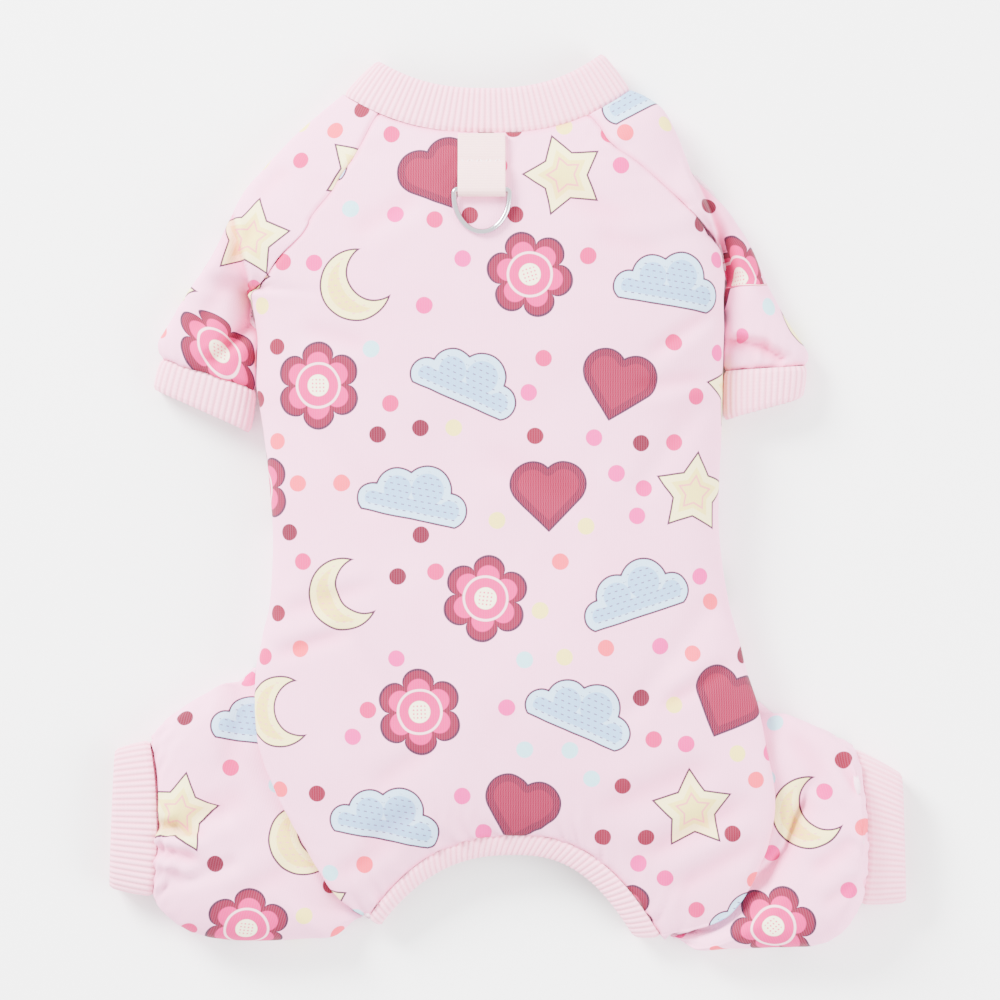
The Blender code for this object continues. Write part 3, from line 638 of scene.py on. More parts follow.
    def gather(self, away: np.ndarray, place: np.ndarray, seam: str, seed: int) -> None:
        """Puckers the cloth beside a seam.

        Args:
            away: distance of each point from the seam.
            place: distance of each point along the seam.
            seam: which seam of the suit.
            seed: which random mix of them.
        """
        style = SEAMS[seam]
        rng = np.random.default_rng(seed)
        wave = np.zeros(away.shape)
        for often, part in PUCKER_WAVES:
            drift = away * rng.uniform(-PUCKER_DRIFT, PUCKER_DRIFT)
            turns = FULL_TURN * (place + drift) / (style.pitch / often)
            wave += part * np.sin(turns + rng.uniform(0, PHASE_END))
        turns = FULL_TURN * place / (style.pitch * PUCKER_SWING)
        swing = PUCKER_LEVEL + (1 - PUCKER_LEVEL) * np.sin(turns + rng.uniform(0, PHASE_END))
        fade = np.exp(-np.abs(away) / style.reach) * ease(away, 0.0, SEAM_HOLD)
        self.raise_by(style.height * wave * swing * fade)

    def tuck(self, away: np.ndarray, seam: str) -> None:
        """Turns the cloth down into a seam, and paints shade along it."""
        near = 1 - ease(away, 0.0, SEAMS[seam].dip_reach)
        self.raise_by(-SEAMS[seam].dip * near)
        # Painted shade along the seam
        self.hollow = self.hollow + near / 2

    def develop(self) -> None:
        """Lays the cloth out flat: plan coordinates at each row's crown, and true length along the row from there.

        The result, rows by columns by 2 in metres, has one more column than the points if the rows are loops.
        """
        points = self.points
        if self.closed:
            points = np.concatenate([points, points[:, :1]], axis=1)
        rows = np.arange(len(points))
        crown = np.full(len(points), int(np.median(np.argmax(points[..., 2], axis=1))))
        flat = np.zeros((*points.shape[:2], 2))
        flat[rows, crown] = points[rows, crown, :2]
        middle = crown[0]
        for way, last in ((1, points.shape[1]), (-1, -1)):
            heading = np.zeros((len(points), 2))
            for column in range(middle + way, last, way):
                step = points[:, column] - points[:, column - way]
                whole = np.linalg.norm(step, axis=1)
                plan = np.linalg.norm(step[:, :2], axis=1)
                fresh = step[:, :2] / np.maximum(plan, LEAST_STEP)[:, None]
                back = (fresh * heading).sum(axis=1) < 0
                fresh[back] *= -1
                level = plan > LEVEL_SHARE * whole
                heading = np.where(level[:, None], fresh, heading)
                flat[:, column] = flat[:, column - way] + heading * whole[:, None]
        self.flat = flat

    def uv(self, turn: float, shift: tuple[float, float]) -> np.ndarray:
        """Cloth coordinates for the print, in metres.

        Args:
            turn: how far the print is turned on this piece, in degrees.
            shift: where the print lies on this piece, in metres.

        Returns:
            rows by columns by 2.
        """
        angle = math.radians(turn)
        across, down = self.flat[..., 0], self.flat[..., 1]
        turned = np.stack(
            [across * math.cos(angle) - down * math.sin(angle), across * math.sin(angle) + down * math.cos(angle)],
            axis=2,
        )
        return turned + np.array(shift)

    def mesh_object(
        self, name: str, wall: float, uv: np.ndarray, finishes: Sequence[bpy.types.Material],
        offset: tuple[float, float], faces_down: bool = False,
    ) -> bpy.types.Object:
        """Makes the piece, with its wall on the inside.

        Args:
            name: the piece's name.
            wall: the wall's thickness.
            uv: cloth coordinates, rows by columns by 2, with one more column if the rows are loops.
            finishes: the material of its outer side, and that of its inner side where it differs.
            offset: how far the piece is moved in plan.
            faces_down: whether its outer face is the one on the floor.

        Returns:
            The finished object, at the origin.
        """
        rows, columns = self.points.shape[:2]
        corners = (self.points + np.array([*offset, 0.0])).reshape(-1, 3)
        spans = columns if self.closed else columns - 1
        faces = grid_faces(rows, spans, columns, columns)
        flat_faces = grid_faces(rows, spans, uv.shape[1], spans + 1)
        face = corners[faces[np.argmax(corners[faces].mean(axis=1)[:, 2])]]
        if (np.cross(face[1] - face[0], face[3] - face[0])[2] < 0) != faces_down:
            faces = faces[:, ::-1]
            flat_faces = flat_faces[:, ::-1]
        mesh = bpy.data.meshes.new(name)
        mesh.from_pydata(corners.tolist(), [], faces.tolist())
        layer = mesh.uv_layers.new(name=CLOTH_LAYER)
        layer.data.foreach_set("uv", uv.reshape(-1, 2)[flat_faces.reshape(-1)].astype(np.float32).reshape(-1))
        # Painted shade of folds and seams, kept per point for the jersey's colour
        tone = mesh.attributes.new(PAINTED_SHADE_LAYER, "FLOAT", "POINT")
        depth = np.clip(self.hollow, 0, 1)
        tone.data.foreach_set("value", depth.astype(np.float32).reshape(-1))
        mesh.shade_smooth()
        piece = bpy.data.objects.new(name, mesh)
        bpy.context.scene.collection.objects.link(piece)
        for material in finishes:
            mesh.materials.append(material)
        shell = piece.modifiers.new("wall", "SOLIDIFY")
        shell.thickness = wall
        shell.offset = -1.0
        shell.material_offset = len(finishes) - 1
        finish_modifiers(piece)
        return piece


def grid_faces(rows: int, spans: int, stride: int, wrap: int) -> np.ndarray:
    """The four corner numbers of each face of a grid.

    Args:
        rows: its rows of points.
        spans: faces in a row.
        stride: points in a row.
        wrap: the column after which a row starts again.

    Returns:
        Faces by 4.
    """
    row, column = np.meshgrid(np.arange(rows - 1), np.arange(spans), indexing="ij")
    after = (column + 1) % wrap
    low, high = row * stride, (row + 1) * stride
    return np.stack([low + column, low + after, high + after, high + column], axis=-1).reshape(-1, 4)


def deselect_all() -> None:
    """Leaves nothing selected, in object mode."""
    if bpy.context.mode != "OBJECT":
        bpy.ops.object.mode_set(mode="OBJECT")
    bpy.ops.object.select_all(action="DESELECT")


def make_active(piece: bpy.types.Object) -> None:
    """Selects one piece alone and makes it active."""
    deselect_all()
    piece.select_set(True)
    bpy.context.view_layer.objects.active = piece


def finish_modifiers(piece: bpy.types.Object) -> None:
    """Applies a piece's modifiers in order."""
    make_active(piece)
    for modifier in list(piece.modifiers):
        bpy.ops.object.modifier_apply(modifier=modifier.name)


@dataclass
class Torso:
    """The body of the suit: its sections, the back panel over it and the belly panel under it."""

    back_columns: int = 84
    back_rows: int = 200
    belly_columns: int = 24
    belly_rows: int = 70
    crease_margin: float = 0.006
    raglan_end: tuple[float, float] = (0.28, 0.36)
    back_limit: float = 2.0
    belly_limit: float = 2.01
    sections_read: int = 60

    def section(self, at: float) -> Section:
        """The torso's section at a fractional index of its table."""
        row = dict(zip(TORSO_COLUMNS, between_rows(TORSO, at)))
        edge = row["edge"] * SIZES.torso_loft
        ends = {
            side: np.array([row[side.word + "_x"] * SIZES.chest_width, row[side.word + "_y"] * SIZES.back_length])
            for side in Side
        }
        middle = row["mid_x"] * SIZES.chest_width
        mids = tuple(np.array([middle, row[name] * SIZES.back_length]) for name in ("back_y", "belly_y"))
        return Section(
            mids, ends, row["crown"] * SIZES.torso_loft, edge, edge * min(row["roll"], 1.0), np.array([1.0, 0.0])
        )

    def panel_end(self, side: Side, panel: str, at: float) -> float:
        """The reach where a panel stops on a side, straight between the rows of the table."""
        column = TORSO_COLUMNS.index(f"{side.word}_{panel}_end")
        return float(np.interp(at, range(len(TORSO)), [row[column] for row in TORSO]))

    def back_end(self, side: Side, at: float) -> float:
        """The reach where the back panel stops on a side."""
        if UNDERARM[side] <= at <= NOTCH - BACK_STEP:
            return self.panel_end(side, "belly", at)
        return min(self.panel_end(side, "back", at), self.back_limit)

    def belly_end(self, side: Side, at: float) -> float:
        """The reach where the belly panel starts on a side."""
        return max(self.panel_end(side, "belly", at), self.belly_limit)

    def edge_at(self, side: Side, y: float) -> np.ndarray:
        """The plan point of the torso's edge at a height along the back."""
        places = np.linspace(UNDERARM[side], NOTCH - 1, self.sections_read)
        dense = np.array([self.section(at).ends[side] for at in places])[::-1]
        return np.array([np.interp(y, dense[:, 1], dense[:, 0]), y])

    def back_height(self, y: float) -> float:
        """Height of the middle of the back at a place along it."""
        rows = [self.section(at) for at in np.linspace(0, NOTCH, self.sections_read)][::-1]
        return float(np.interp(y, [row.mids[0][1] for row in rows], [row.crown for row in rows]))

    def back_grid(self) -> ClothGrid:
        """The back panel's surface, with its folds, puckers and seams."""
        keys = []
        for at in np.arange(0, ARCH + BACK_STEP / 2, BACK_STEP):
            section = self.section(at)
            halves = []
            for side in Side:
                line = section.cut(side, 0, self.back_end(side, at))
                halves.append(spread(line, self.back_columns + 1))
            keys.append(np.concatenate([halves[0][::-1], halves[1][1:]]))
        grid = ClothGrid.loft(keys, self.back_rows)
        grid.develop()
        grid.press()
        self.fold_back(grid)
        self.seam_back(grid)
        return grid

    def fold_back(self, grid: ClothGrid) -> None:
        """The back panel's own folds and unevenness."""
        grid.ripple(SHARED_LUMPS, SHARED_SEED)
        across = grid.across()
        edge = np.minimum(across, across[:, -1:] - across)
        held = ease(edge, 0.0, self.crease_margin) * ease(grid.along(), 0.0, self.crease_margin)
        for crease in BACK_CREASES:
            grid.crease(*crease, held)

    def seam_back(self, grid: ClothGrid) -> None:
        """The back panel's puckers at the collar, the arch and the raglan seams."""
        along = grid.along()
        across = grid.across()
        arch = along[-1:] - along
        grid.gather(along, across, "collar", seed=21)
        grid.gather(arch, across, "arch", seed=22)
        below = ease(np.arange(len(along)) / len(along), *self.raglan_end)[:, None]
        for away, seed in ((across, 27), (across[:, -1:] - across, 28)):
            grid.gather(away, along, "raglan", seed)
            grid.tuck(away + below, "raglan")
        grid.tuck(along, "collar")
        grid.tuck(arch, "arch")

    def belly_grid(self) -> ClothGrid:
        """The belly panel, flat on the surface."""
        keys = []
        for at in np.arange(0, ARCH + BACK_STEP / 2, BACK_STEP):
            section = self.section(at)
            halves = []
            for side in Side:
                line = section.cut(side, self.belly_end(side, at), 3)
                halves.append(spread(line, self.belly_columns + 1))
            keys.append(np.concatenate([halves[0], halves[1][::-1][1:]]))
        grid = ClothGrid.loft(keys, self.belly_rows)
        grid.develop()
        return grid


# Sharper creases of the back panel: start and end in metres, depth and half width in metres
BACK_CREASES = [
    ((0.060, 0.060), (0.088, 0.080), 0.0016, 0.0035),
    ((0.055, 0.046), (0.086, 0.052), 0.0014, 0.0035),
    ((-0.066, -0.056), (-0.098, -0.066), 0.0017, 0.0034),
    ((0.094, -0.070), (0.066, -0.088), 0.0016, 0.0036),
    ((-0.056, -0.036), (-0.094, -0.048), 0.0012, 0.0036),
    ((0.102, -0.128), (0.056, -0.152), 0.0020, 0.0052),
    ((0.108, -0.144), (0.070, -0.166), 0.0018, 0.0048),
    ((0.086, -0.112), (0.040, -0.132), 0.0013, 0.0056),
    ((-0.060, -0.146), (-0.036, -0.130), 0.0015, 0.0050),
    ((-0.072, -0.160), (-0.044, -0.144), 0.0013, 0.0044),
    ((-0.030, -0.104), (-0.056, -0.122), 0.0012, 0.0050),
    ((-0.010, 0.020), (0.034, -0.002), 0.0011, 0.0070),
    ((0.052, 0.118), (0.014, 0.134), 0.0014, 0.0056),
    ((-0.064, 0.112), (-0.036, 0.128), 0.0012, 0.0052),
    ((0.066, 0.104), (0.038, 0.112), 0.0011, 0.0050),
    ((-0.086, 0.072), (-0.058, 0.064), 0.0012, 0.0046),
]


@dataclass
class Sleeve:
    """A raglan sleeve with its ribbed cuff."""

    torso: Torso
    side: Side
    columns: int = 132
    rows: int = 110
    roll_steps: int = 24
    seed: int = 40
    lumps: tuple = ((0.022, 0.0007),)
    loose_from: tuple[float, float] = (0.002, 0.012)
    crease_margin: float = 0.005
    side_end: tuple[float, float] = (0.42, 0.52)

    def over_tube(
        self, start: np.ndarray, outer: np.ndarray, crown: float, floor_end: np.ndarray
    ) -> list[np.ndarray]:
        """A dense line over the tube from its seam to the outer edge, round it, and along the floor."""
        inward = toward(start[:2] - outer[:2])
        top = max(crown, start[2])
        line = []
        for share in np.linspace(0, 1, TOP_STEPS):
            falling = outer[2] + (top - outer[2]) * (1 - share**OVER_POWER) ** (1 / OVER_POWER)
            rising = (1 - max(1 - 2 * share, 0) ** TOP_POWER) ** (1 / TOP_POWER)
            plan = start[:2] + (outer[:2] - start[:2]) * share
            line.append(np.array([*plan, start[2] + (falling - start[2]) * rising]))
        for turn in np.linspace(0, math.pi / 2, self.roll_steps)[1:]:
            plan = outer[:2] + inward * SIZES.side_roll * (1 - math.cos(turn))
            line.append(np.array([*plan, outer[2] * (1 - math.sin(turn))]))
        return line + [floor_end]

    def arc(self, at: float, outward: float, neckward: float) -> Points:
        """One arc from the raglan seam on the back over the outer edge to the seam on the belly side."""
        torso = self.torso
        section = torso.section(at)
        start = torso.back_end(self.side, at)
        if outward == 0:
            return spread(section.cut(self.side, start, torso.belly_end(self.side, at)), self.columns + 1)
        seam = section.point(self.side, start)
        floor_end = section.point(self.side, torso.belly_end(self.side, at))
        if start > 1:
            seam[0] = section.ends[self.side][0] + self.side.out * SIZES.piece_gap
        if start > UNDERARM_REACH:
            floor_end = np.array([*seam[:2], 0.0])
        outer = section.ends[self.side] + np.array([self.side.out * outward, neckward]) * SIZES.sleeve_width
        line = self.over_tube(seam, np.array([*outer, SLEEVE_EDGE * SIZES.sleeve_loft]), SIZES.sleeve_loft, floor_end)
        return spread(line, self.columns + 1)

    def ring(self, below: float, outward: float, neckward: float, crown: float) -> Section:
        """The section of the sleeve's tube between underarm and cuff."""
        under_y = self.torso.section(UNDERARM[self.side]).ends[self.side][1]
        inner = self.torso.edge_at(self.side, under_y - below * SIZES.sleeve_inseam)
        inner = inner + np.array([self.side.out * SIZES.piece_gap, 0])
        outer = inner + np.array([self.side.out * outward, neckward]) * SIZES.sleeve_width
        return tube_section(
            inner, outer, ("inner", "outer"), crown * SIZES.sleeve_loft, SLEEVE_EDGE * SIZES.sleeve_loft, np.zeros(2)
        )

    def grid(self) -> ClothGrid:
        """The sleeve's surface, gathered into its cuff."""
        keys = [self.arc(BACK_STEP * index, *row) for index, row in enumerate(SLEEVE_ARCS[self.side])]
        for ring in SLEEVE_RINGS[self.side]:
            keys.append(spread(self.ring(*ring).loop("inner", "outer"), self.columns + 1))
        grid = ClothGrid.loft(keys, self.rows)
        grid.develop()
        grid.press()
        seed = self.seed + self.side.out
        grid.ripple(SHARED_LUMPS, SHARED_SEED)
        grid.ripple(self.lumps, seed, ease(grid.across(), *self.loose_from))
        along = grid.along()
        across = grid.across()
        held = ease(across, 0.0, self.crease_margin)
        for crease in SLEEVE_CREASES[self.side]:
            grid.crease(*crease, held)
        for terrace in SLEEVE_TERRACES[self.side]:
            grid.terrace(*terrace, held)
        cuff = along[-1:] - along
        grid.gather(cuff, across, "sleeve_cuff", seed + CUFF_DRAW)
        grid.gather(across, along, "sleeve_side", seed + SIDE_DRAW)
        grid.tuck(across + ease(np.arange(len(along)) / len(along), *self.side_end)[:, None], "sleeve_side")
        grid.tuck(cuff, "sleeve_cuff")
        return grid

    def cuff(self) -> "RibBand":
        """The ribbed cuff beyond the sleeve's last ring."""
        seam = self.ring(*SLEEVE_RINGS[self.side][-1])
        free = moved_ends(
            seam, self.side, SLEEVE_CUFF_REACH[self.side], SIZES.sleeve_cuff_width,
            SLEEVE_CUFF_CROWN * SIZES.sleeve_loft, SLEEVE_EDGE * SIZES.sleeve_loft,
        )
        return RibBand(seam, free, ("inner", "outer"))


# Folded edges of the sleeves: a line, the drop beside it and how soon the cloth rises again, in metres. The cloth is
# lower on the right of each line's way.
SLEEVE_TERRACES = {
    Side.LEFT: [
        (
            [(-0.1210, 0.1430), (-0.1162, 0.1250), (-0.1118, 0.1050), (-0.1060, 0.0846), (-0.1020, 0.0640)],
            0.0062, 0.010,
        ),
        ([(-0.1285, 0.0594), (-0.1180, 0.0680), (-0.1040, 0.0790)], 0.0030, 0.008),
    ],
    Side.RIGHT: [
        ([(0.0920, 0.0880), (0.0907, 0.1000), (0.0890, 0.1150), (0.0851, 0.1256), (0.0740, 0.1520)], 0.0056, 0.010),
        ([(0.0920, 0.0690), (0.1090, 0.0660), (0.1200, 0.0590)], 0.0042, 0.009),
    ],
}

# Creases of the sleeves: start and end, depth and half width, in metres
SLEEVE_CREASES = {
    Side.LEFT: [
        ((-0.1205, 0.064), (-0.1060, 0.079), 0.0022, 0.0032),
        ((-0.1330, 0.070), (-0.1160, 0.094), 0.0013, 0.0040),
        ((-0.1060, 0.118), (-0.1180, 0.096), 0.0016, 0.0036),
        ((-0.0930, 0.140), (-0.1060, 0.128), 0.0010, 0.0040),
    ],
    Side.RIGHT: [
        ((0.0930, 0.068), (0.1120, 0.066), 0.0022, 0.0030),
        ((0.1080, 0.066), (0.1190, 0.060), 0.0018, 0.0028),
        ((0.0900, 0.112), (0.0985, 0.090), 0.0014, 0.0034),
        ((0.0790, 0.142), (0.0860, 0.124), 0.0014, 0.0034),
        ((0.1010, 0.104), (0.1120, 0.084), 0.0010, 0.0038),
    ],
}


@dataclass
class Leg:
    """A rear leg with its ribbed cuff."""

    torso: Torso
    side: Side
    columns: int = 150
    rows: int = 120
    root_steps: int = 80
    seed: int = 60
    lumps: tuple = ((0.055, 0.0010), (0.024, 0.0008))
    loose_from: tuple[float, float] = (0.002, 0.014)
    terrace_margin: float = 0.005

    def section(self, ring: Sequence[float]) -> Section:
        """The section of the leg's tube at one row of its table."""
        top_out, top_up, bottom_out, bottom_up, bend, crown = ring
        notch = self.torso.section(NOTCH).ends[self.side]
        crotch = self.torso.section(ARCH).ends[self.side]
        out = self.side.out
        top = notch + np.array([out * top_out, top_up]) * SIZES.leg_inseam
        bottom = crotch + np.array([out * bottom_out, bottom_up]) * SIZES.leg_inseam
        normal = toward(np.array([out * (top - bottom)[1], -out * (top - bottom)[0]]))
        return tube_section(
            top, bottom, ("top", "bottom"), crown * SIZES.leg_loft, LEG_EDGE * SIZES.leg_loft,
            normal * bend * SIZES.leg_inseam,
        )

    def root(self) -> list[np.ndarray]:
        """The first loop: under the body's fold from notch to crotch, then back along the floor."""
        low_edge = ROOT_EDGE * SIZES.leg_loft
        upper = []
        lower = []
        for at in np.linspace(NOTCH + ROOT_START, ARCH - ROOT_END, self.root_steps):
            section = self.torso.section(at)
            under = section.point(self.side, 2.0)
            outside = section.plan(self.side, 1 + SIZES.piece_gap / section.half_width(self.side), 0)
            belly = section.point(self.side, self.torso.belly_end(self.side, at))
            tucked = min(max((under[2] - low_edge - SIZES.floor_gap) / low_edge, 0.0), 1.0)
            top = outside + (under[:2] - outside) * tucked
            floor = outside + (belly[:2] - outside) * tucked
            inset = np.array([self.side.out * SIZES.floor_gap, 0])
            upper.append(np.array([*top, max(under[2] - SIZES.fold_gap, low_edge)]))
            lower.append(np.array([*(floor + inset), 0.0]))
        return [lower[0]] + upper + lower[::-1]

    def grid(self) -> ClothGrid:
        """The leg's surface, gathered into its cuff."""
        keys = [spread(self.root(), self.columns + 1)[:-1]]
        last = len(LEG_RINGS[self.side]) - 1
        count = round(last / LEG_STEP)
        for step in range(count + 1):
            ring = between_rows(LEG_RINGS[self.side], last * step / count)
            keys.append(spread(self.section(ring).loop("top", "bottom"), self.columns + 1)[:-1])
        grid = ClothGrid.loft(keys, self.rows, closed=True)
        grid.develop()
        grid.press()
        seed = self.seed + self.side.out
        along = grid.along()
        across = grid.across()
        cuff = along[-1:] - along
        loose = ease(along, *self.loose_from)
        grid.ripple(SHARED_LUMPS, SHARED_SEED, loose)
        grid.ripple(self.lumps, seed, loose)
        for terrace in LEG_TERRACES[self.side]:
            grid.terrace(*terrace, ease(along, 0.0, self.terrace_margin))
        for crease in LEG_CREASES[self.side]:
            grid.crease(*crease, loose)
        grid.gather(cuff, across, "leg_cuff", seed + CUFF_DRAW)
        grid.tuck(cuff, "leg_cuff")
        return grid

    def cuff(self) -> "RibBand":
        """The ribbed cuff beyond the leg's last ring."""
        seam = self.section(LEG_RINGS[self.side][-1])
        free = moved_ends(
            seam, self.side, LEG_CUFF_REACH[self.side], SIZES.leg_cuff_width,
            LEG_CUFF_CROWN * SIZES.leg_loft, LEG_EDGE * SIZES.leg_loft,
        )
        return RibBand(seam, free, ("top", "bottom"))


# Folded edges of the legs, told as the sleeves' are
LEG_TERRACES = {
    Side.LEFT: [],
    Side.RIGHT: [
        (
            [
                (0.0990, -0.1640), (0.1063, -0.1596), (0.1126, -0.1541),
                (0.1181, -0.1478), (0.1220, -0.1352), (0.1275, -0.1230),
            ],
            0.0042, 0.008,
        ),
    ],
}

# Creases of the legs, told as the sleeves' are
LEG_CREASES = {
    Side.LEFT: [
        ((-0.1500, -0.1382), (-0.1270, -0.1412), 0.0034, 0.0026),
        ((-0.1500, -0.1485), (-0.1290, -0.1525), 0.0028, 0.0025),
        ((-0.1490, -0.1570), (-0.1360, -0.1600), 0.0014, 0.0022),
        ((-0.1370, -0.1340), (-0.1084, -0.1260), 0.0016, 0.0060),
        ((-0.1120, -0.0900), (-0.1180, -0.1150), 0.0012, 0.0050),
        ((-0.0900, -0.1560), (-0.1180, -0.1700), 0.0012, 0.0050),
    ],
    Side.RIGHT: [
        ((0.1410, -0.1080), (0.1490, -0.1250), 0.0020, 0.0030),
        ((0.1200, -0.1000), (0.1330, -0.1180), 0.0012, 0.0046),
        ((0.1470, -0.1440), (0.1290, -0.1575), 0.0018, 0.0040),
        ((0.1500, -0.1600), (0.1340, -0.1720), 0.0012, 0.0034),
        ((0.0900, -0.1720), (0.1120, -0.1760), 0.0010, 0.0045),
    ],
}


def moved_ends(seam: Section, side: Side, reach: dict, width: float, crown: float, edge: float) -> Section:
    """A cuff's free section: the ends of its seam moved by shares of its width."""
    names = tuple(seam.ends)
    ends = [seam.ends[name] + np.array([side.out * reach[name][0], reach[name][1]]) * width for name in names]
    return tube_section(ends[0], ends[1], names, crown, edge, np.zeros(2))


def moved_section(section: Section, reach: dict, width: float, heights: tuple[float, float]) -> Section:
    """A band's free section: the seam's section with its four points moved by shares of the width."""
    moved = {name: np.array(share) * width for name, share in reach.items()}
    ends = {side: section.ends[side] + moved[side] for side in section.ends}
    mids = (section.mids[0] + moved["mid"], section.mids[1] + moved["belly"])
    crown, edge = (share * SIZES.torso_loft for share in heights)
    return Section(mids, ends, crown, edge, edge, section.along)


@dataclass
class RibBand:
    """A ribbed knit band from its seam section to its free section, folded double at the free edge."""

    seam: Section
    free: Section
    names: tuple
    points_per_rib: int = 8
    fewest_ribs: int = 8
    rows: int = 16
    swell: float = 0.0005
    dip: float = 0.0008
    dip_reach: float = 0.0016
    floor_share: float = 0.6
    free_from: tuple[float, float] = (0.0003, 0.0020)

    def grid(self) -> tuple[ClothGrid, np.ndarray]:
        """The band's surface and its cloth coordinates, one rib for each whole number across."""
        start = np.array(self.seam.loop(*self.names))
        end = np.array(self.free.loop(*self.names))
        run = np.linalg.norm(np.diff(start, axis=0), axis=1).sum()
        columns = max(round(run / SIZES.rib_pitch), self.fewest_ribs) * self.points_per_rib
        start = spread(start, columns + 1, turn=0)[:-1]
        end = spread(end, columns + 1, turn=0)[:-1]
        shares = (1 - np.cos(np.linspace(0, math.pi, self.rows))) / 2
        grid = ClothGrid(np.array([start + (end - start) * share for share in shares]), True)
        index = np.arange(columns)[None, :]
        groove = SIZES.rib_depth * (0.5 - 0.5 * np.cos(FULL_TURN * index / self.points_per_rib)) ** 2
        along = grid.along()
        amount = self.swell * np.sin(math.pi * shares)[:, None] - groove
        for away in (along, along[-1:] - along):
            amount = amount - self.dip * (1 - ease(away, 0.0, self.dip_reach))
        free = ease(grid.points[..., 2], *self.free_from)
        moved = amount * free - groove * (1 - free) * self.floor_share
        grid.points = grid.points + grid.normals() * moved[..., None]
        grid.points[..., 2] = np.maximum(grid.points[..., 2], 0.0)
        across = np.arange(columns + 1)[None, :] / self.points_per_rib * np.ones((self.rows, 1))
        down = np.concatenate([along, along[:, :1]], axis=1)
        return grid, np.stack([across, down], axis=2)


